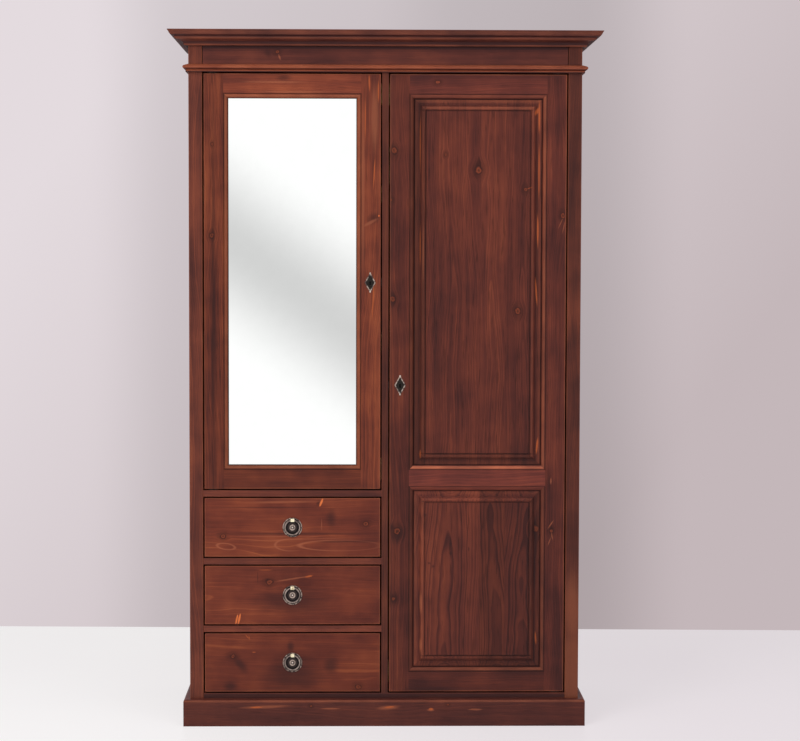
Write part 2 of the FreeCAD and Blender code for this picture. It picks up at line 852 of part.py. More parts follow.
def stile(name, edge, edge_x, inward, low, high, levels):
    """A stile with its outer edge at edge_x; inward is 1 or -1, and levels are the openings beside it."""

    def side(across, y, rise):
        return (edge_x + inward * across, y, inward * rise)

    profile = [(edge_x, front)] + edge(side, at_depth) + [(edge_x, door_back)]
    blank = prism(name + "_profile", "z", profile, low, high)
    flat = edge_x + inward * s.door_flat_width
    full = edge_x + inward * door_edge_width
    face = [(edge_x, high), (edge_x, low), (flat, low)]
    for bottom, top in levels:
        face += [(flat, bottom - s.sticking_width), (full, bottom)]
        face += [(full, top), (flat, top + s.sticking_width)]
    face.append((flat, high))
    return common(name + "_frame", blank, prism(name + "_face", "y", face, front, door_back))


def rail(name, corners, low, high, opens_down, opens_up):
    """A rail between the stiles; it has a mitred moulding on each edge that opens on a panel."""
    blank = prism(name + "_profile", "x", corners, door_left, door_right)
    flat_left, flat_right = door_left + s.door_flat_width, door_right - s.door_flat_width
    full_left, full_right = door_left + door_edge_width, door_right - door_edge_width
    face = []
    if opens_down:
        moulded = low + s.sticking_width
        face += [(flat_left, moulded), (full_left, low), (full_right, low), (flat_right, moulded)]
    else:
        face += [(flat_left, low), (flat_right, low)]
    if opens_up:
        moulded = high - s.sticking_width
        face += [(flat_right, moulded), (full_right, high), (full_left, high), (flat_left, moulded)]
    else:
        face += [(flat_right, high), (flat_left, high)]
    return common(name, blank, prism(name + "_face", "y", face, front, door_back))


def edge_up(edge, foot):
    """An inner edge that opens upwards, on a rail whose flat starts at foot."""
    return edge(lambda across, y, rise: (y, foot + across, -rise), at_depth)


def edge_down(edge, head):
    """An inner edge that opens downwards, on a rail whose flat starts at head."""
    return edge(lambda across, y, rise: (y, head - across, rise), at_depth)


def top_rail(name, edge, high):
    """The top rail of a door."""
    corners = [(front, high)] + edge_down(edge, high) + [(door_back, high)]
    return rail(name, corners, high - door_edge_width, high, True, False)


def bottom_rail(name, edge, low, height):
    """The bottom rail of a door."""
    foot = low + height - door_edge_width
    corners = [(front, low)] + edge_up(edge, foot) + [(door_back, low)]
    return rail(name, corners, low, low + height, False, True)


def middle_rail(name, edge, low, high):
    """A rail with a panel above and below it."""
    above = edge_up(edge, high - door_edge_width)
    below = edge_down(edge, low + door_edge_width)
    return rail(name, above + flipped(below), low, high, True, True)


def flipped(corners):
    """An outline's corners in the other order, with each arc kept on its own side."""
    turned_round = []
    for number in range(len(corners) - 1, -1, -1):
        rise = corners[number - 1][2] if number > 0 else 0
        turned_round.append((corners[number][0], corners[number][1], -rise))
    return turned_round


# Locks and bolts, drawn in the left half
def keyhole(name, level, low, high):
    """A cutter with a keyhole's outline, between two depths."""
    toe = level - s.keyhole_drop
    head = cylinder(name + "_head", "y", (keyhole_x, level), (low, high), s.keyhole_radius)
    half_slot = s.keyhole_slot_width / 2
    slot = box(name + "_slot", (keyhole_x - half_slot, keyhole_x + half_slot), (low, high), (toe, level))
    foot = cylinder(name + "_foot", "y", (keyhole_x, toe), (low, high), s.keyhole_toe_radius)
    return joined(name, [head, slot, foot])


def lock_set(name, level):
    """The lock, its bolt, and the cutters that seat them in the stile."""
    half_height, half_forend = s.lock_height / 2, s.forend_height / 2
    lock_y = (door_back - s.lock_depth, door_back)
    case_x = (door_right - s.lock_width, door_right)
    case = box(name + "_case", case_x, lock_y, (level - half_height, level + half_height))
    forend_x = (door_right - s.forend_thickness, door_right)
    forend = box(name + "_forend", forend_x, lock_y, (level - half_forend, level + half_forend))
    block = joined(name + "_block", [case, forend])
    half_bolt, half_bar = s.bolt_thickness / 2, s.bolt_height / 2
    bolt_x = (door_right - s.bolt_length, door_right)
    bolt_y = (lock_centre_y - half_bolt, lock_centre_y + half_bolt)
    bolt = box(name.replace("lock", "bolt") + "_bar", bolt_x, bolt_y, (level - half_bar, level + half_bar))
    fit = s.bolt_fit
    way_x = (bolt_x[0] - fit, bolt_x[1] + s.overrun)
    way_z = (level - half_bar - fit, level + half_bar + fit)
    way = box(name + "_bolt_way", way_x, (bolt_y[0] - fit, bolt_y[1] + fit), way_z)
    hole_front = front - s.escutcheon_rim_height - s.overrun
    hole = keyhole(name + "_keyhole", level, hole_front, door_back - s.lock_back_wall)
    return cut(name + "_body", block, [way, hole]), bolt, [block, hole], hole


def diamond(name, level, inset, height):
    """A flat diamond on the front of a door, inset from the escutcheon's outline."""
    half_width = s.escutcheon_width / 2
    half_height = s.escutcheon_height / 2
    slope = hypotenuse(half_width, half_height)
    in_x = inset * slope / half_height
    in_z = inset * slope / half_width
    corners = [
        (keyhole_x, level - half_height + in_z),
        (keyhole_x + half_width - in_x, level),
        (keyhole_x, level + half_height - in_z),
        (keyhole_x - half_width + in_x, level),
    ]
    return prism(name, "y", corners, front - height, front)


def escutcheon(name, level, hole):
    """A diamond plate with a raised rim, a boss round the keyhole and a pin head at each end."""
    outer = diamond(name + "_outline", level, ZERO, s.escutcheon_rim_height)
    inner = diamond(name + "_inside", level, s.escutcheon_rim_width, s.escutcheon_rim_height)
    rim = cut(name + "_rim", outer, [inner])
    plate = diamond(name + "_plate", level, ZERO, s.escutcheon_plate)
    boss_z = level - s.keyhole_drop / 2
    boss_y = (front - s.escutcheon_boss_height, front)
    half_boss = s.escutcheon_boss_width / 2
    bosses = [
        cylinder(f"{name}_boss_{number}", "y", (keyhole_x, boss_z + offset), boss_y, half_boss)
        for number, offset in enumerate((-(s.keyhole_drop / 2), ZERO, s.keyhole_drop / 2))
    ]
    tip = s.escutcheon_height / 2 - s.escutcheon_pin_radius
    pin_y = (front - s.escutcheon_pin_height, front)
    pins = [
        cylinder(f"{name}_pin_{number}", "y", (keyhole_x, level + offset), pin_y, s.escutcheon_pin_radius)
        for number, offset in enumerate((-tip, tip))
    ]
    return cut(name + "_diamond", joined(name + "_whole", [rim, plate] + bosses + pins), [hole])


def panel_section(low, high):
    """A raised panel in section, as (along, depth, rise): tongue, margin, field and back."""
    reach = s.panel_groove_depth - s.panel_play
    shoulder = front + s.panel_lip + s.panel_fit
    back_y = shoulder + s.panel_tongue
    margin = [(a * s.panel_margin, up * s.panel_rise, rise) for a, up, rise in PANEL_SHARES]
    rising = [(low + along, shoulder - up, rise) for along, up, rise in margin]
    rises = [0] + [rise for _, _, rise in margin]
    falling = [(high - along, shoulder - up, rises[n]) for n, (along, up, _) in enumerate(margin)]
    head = [(low - reach, back_y, 0), (low - reach, shoulder, 0)]
    tail = [(high + reach, shoulder, 0), (high + reach, back_y, 0)]
    return head + rising + falling[::-1] + tail


def raised_panel(name, low, high):
    """A panel for an opening, with the same section across and upwards, so its corners are mitred."""
    left, right = door_left + door_edge_width, door_right - door_edge_width
    reach = s.panel_groove_depth - s.panel_play
    across = panel_section(left, right)
    upwards = [(depth, along, -rise) for along, depth, rise in panel_section(low, high)]
    upright = prism(name + "_upright", "z", across, low - reach, high + reach)
    level = prism(name + "_level", "x", upwards, left - reach, right + reach)
    return common(name, upright, level)


def handed(name, piece, right):
    """A finished door piece where it belongs: as drawn on the left, or mirrored to the right."""
    if right:
        return node(mirrored(name, piece))
    return node(group(name, [piece]))


def door(prefix, edge, low, levels, rails, lock_level, right):
    """The frame, pivots, lock and escutcheon that both doors have."""
    top_pivot = door_pivot(prefix + "_top_pivot", door_top, 1)
    foot_pivot = door_pivot(prefix + "_foot_pivot", low, -1)
    hinge_frame = stile(prefix + "_hinge_stile", edge, door_left, 1, low, door_top, levels)
    seats = [
        pivot_plate(prefix + "_top_seat", (door_top - s.pivot_plate_thickness, door_top)),
        pivot_plate(prefix + "_foot_seat", (low, low + s.pivot_plate_thickness)),
    ]
    handed(prefix + "_hinge_stile", cut(prefix + "_hinge_stile_cut", hinge_frame, seats), right)
    lock, bolt, lock_seats, hole = lock_set(prefix + "_lock", lock_level)
    lock_frame = stile(prefix + "_lock_stile", edge, door_right, -1, low, door_top, levels)
    handed(prefix + "_lock_stile", cut(prefix + "_lock_stile_cut", lock_frame, lock_seats), right)
    handed(prefix + "_rails", group(prefix + "_rail_set", rails), right)
    handed(prefix + "_pivots", group(prefix + "_pivot_set", [top_pivot, foot_pivot]), right)
    handed(prefix + "_lock", lock, right)
    handed(prefix + "_bolt", bolt, right)
    handed(prefix + "_escutcheon", escutcheon(prefix + "_escutcheon", lock_level, hole), right)


# Mirror door
def mirror_door():
    """The upper left door: a frame round a mirror, which a backing board and four beads hold in place."""
    low, high = mirror_door_bottom + door_edge_width, door_top - door_edge_width
    rails = [
        top_rail("mirror_door_top_rail", rebated_edge, door_top),
        bottom_rail("mirror_door_bottom_rail", rebated_edge, mirror_door_bottom, door_edge_width),
    ]
    door("mirror_door", rebated_edge, mirror_door_bottom, [(low, high)], rails, mirror_lock_level, False)
    reach = s.mirror_rebate - s.panel_play
    left, right = door_left + door_edge_width, door_right - door_edge_width
    x, z = (left - reach, right + reach), (low - reach, high + reach)
    glass_back = front + s.panel_lip + s.mirror_thickness
    node(box("mirror_glass", x, (front + s.panel_lip, glass_back), z))
    board_back = glass_back + s.backing_thickness
    node(box("mirror_backing_board", x, (glass_back, board_back), z))
    bead_y = (board_back, door_back)
    rebate_x = (left - s.mirror_rebate, right + s.mirror_rebate)
    rebate_z = (low - s.mirror_rebate, high + s.mirror_rebate)
    width = s.bead_width
    between = (rebate_z[0] + width, rebate_z[1] - width)
    beads = [
        box("mirror_bead_foot", rebate_x, bead_y, (rebate_z[0], rebate_z[0] + width)),
        box("mirror_bead_head", rebate_x, bead_y, (rebate_z[1] - width, rebate_z[1])),
        box("mirror_bead_left", (rebate_x[0], rebate_x[0] + width), bead_y, between),
        box("mirror_bead_right", (rebate_x[1] - width, rebate_x[1]), bead_y, between),
    ]
    node(group("mirror_beads", beads))


# Panel door
def panel_door():
    """The tall right door: two raised panels in a frame with a middle rail."""
    low, high = panel_door_bottom + s.bottom_rail_height, door_top - door_edge_width
    levels = [(low, mid_rail_bottom), (mid_rail_top, high)]
    rails = [
        top_rail("panel_door_top_rail", grooved_edge, door_top),
        middle_rail("panel_door_middle_rail", grooved_edge, mid_rail_bottom, mid_rail_top),
        bottom_rail("panel_door_bottom_rail", grooved_edge, panel_door_bottom, s.bottom_rail_height),
    ]
    door("panel_door", grooved_edge, panel_door_bottom, levels, rails, panel_lock_level, True)
    panels = [raised_panel(f"panel_door_panel_{number}", *level) for number, level in enumerate(levels)]
    handed("panel_door_panels", group("panel_door_panel_set", panels), True)


mirror_door()
panel_door()


# Drawers
def runner(name, floor, foot, edge_x, inward, width, guide):
    """An L-shaped runner under a drawer side, which also guides it; inward is 1 or -1."""
    seat = floor + s.running_gap - s.runner_float
    guide_top = seat + s.guide_height
    corners = [
        (edge_x, foot),
        (edge_x + inward * width, foot),
        (edge_x + inward * width, seat),
        (edge_x + inward * guide, seat),
        (edge_x + inward * guide, guide_top),
        (edge_x, guide_top),
    ]
    return prism(name, "y", corners, post_back, back_panel_front)


def drawer_box(name, low):
    """Two sides, a back and a bottom board let into grooves in the sides."""
    left = opening_left + s.drawer_side_gap
    right = partition_left - s.drawer_side_gap
    start, end = front + s.drawer_front_thickness, front + s.drawer_front_thickness + s.drawer_length
    wall = s.drawer_side_thickness
    bottom_z = (low + s.drawer_bottom_lift, low + s.drawer_bottom_lift + s.drawer_bottom_thickness)
    bottom_x = (left + wall - s.drawer_groove, right - wall + s.drawer_groove)
    bottom = box(name + "_bottom", bottom_x, (start, end), bottom_z)
    side_z = (low, low + s.drawer_side_height)
    left_blank = box(name + "_left_blank", (left, left + wall), (start, end), side_z)
    right_blank = box(name + "_right_blank", (right - wall, right), (start, end), side_z)
    left_side = cut(name + "_left", left_blank, [bottom])
    right_side = cut(name + "_right", right_blank, [bottom])
    rear = box(name + "_rear", (left + wall, right - wall), (end - wall, end), (bottom_z[1], side_z[1]))
    node(group(name, [left_side, right_side, rear, bottom]))


def rosette(name, x, z):
    """A round plate with a rim, a dome, an eye, a stud and its nut; returns the ring's place on Y."""
    rim_in = s.rosette_radius - s.rosette_rim_width
    floor, rim = s.rosette_floor, s.rosette_rim_height
    dome_rise = s.dome_height - floor
    dome = [(out * s.dome_radius, -(floor + up * dome_rise), rise) for out, up, rise in DOME_SHARES]
    corners = [
        (ZERO, ZERO),
        (s.rosette_radius, ZERO),
        (s.rosette_radius, -floor, RIM_RISE_SHARE),
        (s.rosette_radius - s.rosette_rim_width / 2, -rim, RIM_RISE_SHARE),
        (rim_in, -floor),
    ]
    plate = turned(name + "_plate", corners + dome, x, front, z)
    wire_y = front - floor - s.ring_float - s.ring_wire_radius
    eye_z = z + s.ring_radius
    half_width, half_height = s.eye_width / 2, s.eye_height / 2
    eye_front = wire_y - s.eye_bore_radius - s.eye_front_wall
    eye_x = (x - half_width, x + half_width)
    eye = box(name + "_eye", eye_x, (eye_front, front), (eye_z - half_height, eye_z + half_height))
    bore_x = (eye_x[0] - s.overrun, eye_x[1] + s.overrun)
    bore = cylinder(name + "_bore", "x", (wire_y, eye_z), bore_x, s.eye_bore_radius)
    inside = front + s.drawer_front_thickness
    stud_end = inside + s.nut_height + s.overrun
    stud = cylinder(name + "_stud", "y", (x, z), (front, stud_end), s.stud_radius)
    nut_blank = cylinder(name + "_nut_blank", "y", (x, z), (inside, inside + s.nut_height), s.nut_radius)
    nut = cut(name + "_nut", nut_blank, [stud])
    body = cut(name + "_body", joined(name + "_whole", [plate, eye, stud]), [bore])
    node(group(name, [body, nut]))
    return wire_y


def ring(name, x, y, z):
    """A drop ring, hanging through the eye of its rosette."""
    hoop = doc.addObject("Part::Torus", name)
    upright = FreeCAD.Rotation(FreeCAD.Vector(1, 0, 0), QUARTER_TURN)
    hoop.Placement = FreeCAD.Placement(FreeCAD.Vector(), upright)
    for prop, size in (("Radius1", s.ring_radius), ("Radius2", s.ring_wire_radius)):
        hoop.setExpression(prop, size.formula)
    for axis, place in (("x", x), ("y", y), ("z", z)):
        hoop.setExpression(f"Placement.Base.{axis}", place.formula)
    node(hoop)


def drawer(number, floor):
    """A drawer over its floor: front, box, rosette and ring."""
    name = f"drawer_{number}"
    low = floor + s.running_gap
    high = low + s.drawer_front_height
    x, z = (door_left + door_right) / 2, (low + high) / 2
    front_y = (front, front + s.drawer_front_thickness)
    blank = box(name + "_front_blank", (door_left, door_right), front_y, (low, high))
    hole_y = (front - s.overrun, front_y[1] + s.overrun)
    hole = cylinder(name + "_front_hole", "y", (x, z), hole_y, s.stud_radius + s.stud_fit)
    node(cut(name + "_front", blank, [hole]))
    drawer_box(name + "_box", low)
    wire_y = rosette(name + "_rosette", x, z)
    ring(name + "_ring", x, wire_y, z)


runners = []
dividers = []
# Drawer 1 is the highest.
for storey_number, floor in enumerate(drawer_floors):
    drawer(DRAWER_COUNT - storey_number, floor)
    foot = floor if storey_number == 0 else floor - s.board_thickness
    guide_left = opening_left - inside_left + s.drawer_side_gap - s.guide_gap
    guide_right = s.drawer_side_gap - s.guide_gap
    name = f"runner_{storey_number}"
    wide, narrow = s.runner_width, s.partition_runner_width
    runners.append(runner(name + "_left", floor, foot, inside_left, 1, wide, guide_left))
    runners.append(runner(name + "_right", floor, foot, partition_left, -1, narrow, guide_right))
    if storey_number > 0:
        name = f"divider_{storey_number}"
        span = (opening_left, partition_left)
        dividers.append(box(name, span, (front, post_back), (floor - s.board_thickness, floor)))
node(group("drawer_runners", runners))
node(group("drawer_divider_rails", dividers))


# Every feature must be sound before anything is written.
doc.recompute()
failed = [f"{part.Label}: {part.State}" for part in doc.Objects if {"Invalid", "Error"} & set(part.State)]
for part in nodes:
    if part.Shape.isNull() or not part.Shape.isValid() or not part.Shape.Solids:
        failed.append(f"{part.Label}: bad shape")
if failed:
    raise RuntimeError("; ".join(failed))
os.makedirs("parts", exist_ok=True)
for part in nodes:
    part.Shape.exportStep(f"parts/{part.Label}.step")
print(len(nodes), "sub-parts")
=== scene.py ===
"""Looks of the wardrobe with drawers, in metres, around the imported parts."""

import math
from dataclasses import dataclass

import bpy
from mathutils import Matrix, Vector


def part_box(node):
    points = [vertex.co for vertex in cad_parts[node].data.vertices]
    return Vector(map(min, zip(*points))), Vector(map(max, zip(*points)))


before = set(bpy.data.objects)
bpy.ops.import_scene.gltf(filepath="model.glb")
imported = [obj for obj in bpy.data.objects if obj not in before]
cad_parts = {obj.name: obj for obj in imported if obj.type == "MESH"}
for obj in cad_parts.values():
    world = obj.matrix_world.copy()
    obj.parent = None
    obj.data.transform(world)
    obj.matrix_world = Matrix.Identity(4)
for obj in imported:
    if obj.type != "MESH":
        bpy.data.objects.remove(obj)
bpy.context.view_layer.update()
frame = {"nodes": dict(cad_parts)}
nodes = frame["nodes"]
scene = bpy.context.scene

# A level as it is displayed, raised to this power, is a linear one
GAMMA = 2.2


def tone(red, green, blue):
    """A display colour, 0 to 255, as the linear colour that a shader takes."""
    shares = [c / 255 for c in (red, green, blue)]
    return (*[c / 12.92 if c <= 0.04045 else ((c + 0.055) / 1.055) ** 2.4 for c in shares], 1.0)


def tones(*colours):
    """A stain or a metal from dark to pale."""
    return [tone(*colour) for colour in colours]


def face(*names):
    """The front of some nodes together, as x from and to and z from and to."""
    lows, highs = zip(*[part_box(name) for name in names])
    return (min(low[0] for low in lows), max(high[0] for high in highs),
            min(low[2] for low in lows), max(high[2] for high in highs))


def middle(name):
    """The middle of a node's front, as x and z."""
    left, right, bottom, top = face(name)
    return (left + right) / 2, (bottom + top) / 2


def dress(material, *names):
    """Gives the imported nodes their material."""
    for name in names:
        slots = nodes[name].data.materials
        slots.clear()
        slots.append(material)


class Graph:
    """The nodes of one material or of the world. A value is a number, a colour or a socket."""

    def __init__(self, tree):
        self.tree = tree

    def feed(self, socket, value):
        if isinstance(value, bpy.types.NodeSocket):
            self.tree.links.new(value, socket)
        else:
            socket.default_value = value

    def add(self, kind, inputs=(), output=0, **settings):
        node = self.tree.nodes.new("ShaderNode" + kind)
        for key, value in settings.items():
            setattr(node, key, value)
        for key, value in dict(inputs).items():
            self.feed(node.inputs[key], value)
        return node.outputs[output]

    def math(self, operation, *values, clamp=False):
        return self.add("Math", dict(enumerate(values)), operation=operation, use_clamp=clamp)

    def plus(self, a, b):
        return self.math("ADD", a, b)

    def minus(self, a, b):
        return self.math("SUBTRACT", a, b)

    def times(self, a, b):
        return self.math("MULTIPLY", a, b)

    def weigh(self, value, factor, base):
        """Base plus the value times a factor."""
        return self.math("MULTIPLY_ADD", value, factor, base)

    def vary(self, base, noise, amount):
        """Base, up or down with a noise whose middle is a half."""
        return self.weigh(self.minus(noise, 0.5), amount, base)

    def over(self, value, limit):
        """1 over the limit, and 0 elsewhere."""
        return self.math("GREATER_THAN", value, limit)

    def apart(self, value, place):
        """How far a value is from a place, to either side."""
        return self.math("ABSOLUTE", self.minus(value, place))

    def pick(self, mask, with_it, without):
        """One of two numbers or sockets, by a mask of 1 or 0."""
        if isinstance(with_it, float) and isinstance(without, float):
            return self.weigh(mask, with_it - without, without)
        return self.weigh(mask, self.minus(with_it, without), without)

    def smooth(self, value, start, end, low=0.0, high=1.0):
        """From low at start to high at end, level outside them."""
        inputs = {"Value": value, "From Min": start, "From Max": end, "To Min": low, "To Max": high}
        return self.add("MapRange", inputs, interpolation_type="SMOOTHSTEP")

    def band(self, value, rise, fall):
        """From 0 to 1 over the pair rise, and back to 0 over the pair fall."""
        return self.times(self.smooth(value, *rise), self.smooth(value, *fall, 1.0, 0.0))

    def vector(self, x, y, z=0.0):
        return self.add("CombineXYZ", {0: x, 1: y, 2: z})

    def split(self, vector):
        return self.add("SeparateXYZ", {0: vector}).node.outputs

    def distance(self, a, b):
        return self.add("VectorMath", {0: a, 1: b}, output="Value", operation="DISTANCE")

    def length(self, a):
        return self.add("VectorMath", {0: a}, output="Value", operation="LENGTH")

    def noise(self, vector, scale=1.0, detail=2.0, roughness=0.5):
        inputs = {"Vector": vector, "Scale": scale, "Detail": detail, "Roughness": roughness}
        return self.add("TexNoise", inputs, output="Fac")

    def mix(self, share, a, b, blend="MIX"):
        inputs = {0: share, 6: a, 7: b}
        return self.add("Mix", inputs, output=2, data_type="RGBA", blend_type=blend)

    def scaled(self, colour, level):
        """A colour times one linear level."""
        return self.mix(1.0, colour, self.vector(level, level, level), "MULTIPLY")

    def ramp(self, share, stops):
        node = self.tree.nodes.new("ShaderNodeValToRGB")
        elements = node.color_ramp.elements
        while len(elements) < len(stops):
            elements.new(0.5)
        for element, (place, colour) in zip(elements, stops):
            element.position = place
            element.color = colour
        self.feed(node.inputs[0], share)
        return node.outputs[0]


class Surface(Graph):
    """A material with one Principled shader and its place in the frame at rest."""

    def __init__(self, name):
        self.material = bpy.data.materials.new(name)
        self.material.use_nodes = True
        super().__init__(self.material.node_tree)
        self.shader = self.tree.nodes["Principled BSDF"]
        self.place = self.add("TexCoord", output="Object")
        self.axis = dict(zip("xyz", self.split(self.place)))

    def finish(self, colour, roughness, height=None, rise=0.0, metallic=0.0, specular=0.5):
        self.feed(self.shader.inputs["Base Color"], colour)
        self.feed(self.shader.inputs["Roughness"], roughness)
        self.feed(self.shader.inputs["Metallic"], metallic)
        self.shader.inputs["Specular IOR Level"].default_value = specular
        if height is not None:
            inputs = {"Strength": 1.0, "Distance": rise, "Height": height}
            self.feed(self.shader.inputs["Normal"], self.add("Bump", inputs, output="Normal"))
        return self.material


# Stained pine and plain pine
CARCASS = tones((46, 22, 23), (72, 35, 30), (98, 48, 37), (124, 62, 44), (150, 82, 54))
MOULDING = tones((40, 19, 21), (62, 29, 27), (84, 40, 33), (106, 52, 39), (132, 69, 48))
MIRROR_DOOR = tones((56, 26, 26), (90, 41, 32), (121, 56, 38), (148, 73, 46), (176, 98, 60))
DRAWER = tones((60, 25, 21), (88, 37, 28), (112, 50, 34), (134, 64, 40), (160, 84, 50))
PANEL_DOOR = tones((44, 19, 20), (68, 30, 26), (91, 41, 32), (115, 54, 38), (142, 75, 50))
PLAIN = tones((150, 104, 62), (172, 126, 80), (190, 146, 98), (205, 165, 116), (217, 181, 134))
TONE_STOPS = (0.0, 0.28, 0.5, 0.72, 1.0)

# Marks on the wood. The worn tone also paints highlights, and the smear tone also paints shadows
CHIP, ORANGE, WORN_AND_HIGHLIGHT, SMEAR_AND_SHADOW = tones((226, 118, 62), (186, 92, 46), (158, 88, 60), (50, 24, 24))

# A knot from its middle outwards, by its own radius
KNOT = [
    (0.00, tone(70, 30, 20)), (0.25, tone(104, 48, 28)), (0.55, tone(140, 66, 38)),
    (0.76, tone(98, 42, 27)), (0.90, tone(52, 22, 18)), (1.00, tone(50, 21, 18)),
]
# Knots that come by chance: cells in a metre, across and along the grain, and the radii
KNOT_CELLS = (6.5, 2.1)
KNOT_RADII = (0.003, 0.0085)
# Lengths along the grain count for less round a knot, which makes it an oval
KNOT_OVAL = 0.8
# How far from its middle a knot pushes the grain, in radii, and how much of the way
KNOT_REACH = 4.0
KNOT_PUSH = 0.85
# Farther from any knot or mark than it reaches, in its own sizes
FAR_OFF = 9.0
# Odd numbers that set boards, and staves of one board, apart in their figure
BOARD_STEP, STAVE_STEP, START_STEP = 7.31, 3.17, 1.7

# Figures in the wood: how often across the grain and along it, in a metre, and how detailed
WANDERING, RIPPLE = (1.6, 1.5, 1.0), (14.0, 6.0, 2.0)
STREAK, FIBRE, FLECK = (62.0, 2.2, 3.0), (620.0, 11.0, 2.0), (330.0, 17.0, 1.0)
PATCH, CLOUD = (9.0, 3.6, 3.0), (17.0, 13.0, 2.0)

# Kinds of marks: colour, most of it, where its soft edge starts and ends, and how ragged it is
SMEARED = (SMEAR_AND_SHADOW, 0.62, (0.15, 1.30), 0.9)
RUBBED = (WORN_AND_HIGHLIGHT, 0.65, (0.30, 1.20), 0.8)
BARED = (ORANGE, 0.85, (0.40, 1.15), 0.7)
CHIPPED = (CHIP, 0.95, (0.80, 1.05), 0.15)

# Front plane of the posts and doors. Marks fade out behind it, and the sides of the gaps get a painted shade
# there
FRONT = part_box("left_front_post")[0][1]
MARK_DEPTHS = (FRONT + 0.008, FRONT + 0.016)
GAP_DEPTHS = (FRONT + 0.006, FRONT + 0.013)
GAP_SHADE_LEVEL = 0.12
# The outer sides of the posts lie beyond this, and aren't the side of a gap
GAPS_WITHIN = 0.530
# How soft the edges of the steps and panes in the light are
SOFT_STEP = 0.001
SOFT_PANE = 0.0012


@dataclass
class Sides:
    """The painted light and shade of a moulding, left, right, bottom and top, its wear there, which is partly
    a painted highlight, and how strong the painted shade in its hollows is.
    """

    light: tuple
    wear_and_highlight: tuple
    hollow_shade: float = 1.0


@dataclass
class Opening:
    """An opening of a door, with the sides of the frame's moulding round it and of its panel's margin."""

    left: float
    right: float
    bottom: float
    top: float
    frame: Sides
    margin: Sides = None


@dataclass
class Moulding:
    """A profile outwards (way 1) or inwards (way -1) from the edge of an opening. Shade, a painted shade in
    its joint and hollows, and wear, which is partly a painted highlight on its rounds, are (millimetres from
    the edge, amount)."""

    way: float
    width: float
    shade: list
    wear_and_highlight: list


MIRROR_FACE = face("mirror_door_hinge_stile", "mirror_door_lock_stile")
PANEL_FACE = face("panel_door_hinge_stile", "panel_door_lock_stile")
# Widths of stiles and top rails and of the panel door's bottom rail, and where its middle rail is
FRAME_WIDTH = 0.068
BOTTOM_RAIL_WIDTH = 0.070
MIDDLE_RAIL = (0.662, 0.735)


def opening(door, bottom, top, frame_sides, margin_sides=None):
    """An opening between the stiles of a door."""
    return Opening(door[0] + FRAME_WIDTH, door[1] - FRAME_WIDTH, bottom, top, frame_sides, margin_sides)


# Per side of each opening: painted light and shade, wear that is partly a painted highlight, and the strength
# of the painted shade in the hollows
MIRROR_OPENING = opening(
    MIRROR_FACE, MIRROR_FACE[2] + FRAME_WIDTH, MIRROR_FACE[3] - FRAME_WIDTH,
    Sides((1.00, 1.00, 1.00, 1.00), (1.10, 0.90, 1.25, 0.95)))
UPPER_OPENING = opening(
    PANEL_FACE, MIDDLE_RAIL[1], PANEL_FACE[3] - FRAME_WIDTH,
    Sides((0.86, 1.00, 1.00, 1.00), (0.30, 0.55, 0.80, 0.20)),
    Sides((1.02, 1.08, 0.94, 1.08), (0.40, 0.45, 0.30, 0.85), hollow_shade=0.65))
LOWER_OPENING = opening(
    PANEL_FACE, PANEL_FACE[2] + BOTTOM_RAIL_WIDTH, MIDDLE_RAIL[0],
    Sides((0.90, 0.94, 1.00, 0.86), (0.20, 0.35, 0.60, 0.00)),
    Sides((1.06, 0.96, 0.94, 1.16), (0.60, 0.30, 0.20, 0.25), hollow_shade=0.40))

# The shade ramps paint shade into the joints and hollows of a profile, and the wear ramps paint wear, partly
# a painted highlight, onto its rounds
FRAME_MOULDING = Moulding(
    way=1.0, width=0.0125,
    shade=[(0, 0.50), (1.2, 0.55), (2.2, 1.0), (10.8, 1.0), (12.4, 0.72), (13.8, 0.72), (15.2, 1.0)],
    wear_and_highlight=[(2.0, 0.0), (4.0, 0.75), (7.5, 1.0), (9.5, 0.8), (11.5, 0.1), (12.5, 0.0)])
PANEL_MARGIN = Moulding(
    way=-1.0, width=0.033,
    shade=[(0, 0.45), (1.4, 0.50), (2.6, 1.0), (10.5, 0.90), (13.5, 0.74), (17.5, 0.74), (20.0, 1.0),
           (29.5, 1.0), (31.0, 0.66), (33.2, 0.66), (34.4, 1.0)],
    wear_and_highlight=[(1.8, 0.0), (3.2, 0.45), (8.0, 0.25), (12.0, 0.0), (20.0, 0.0), (22.5, 0.45), (27.0, 0.45),
          (29.0, 0.0)])
# The ramps over a profile span this length
PROFILE_SPAN = 0.04


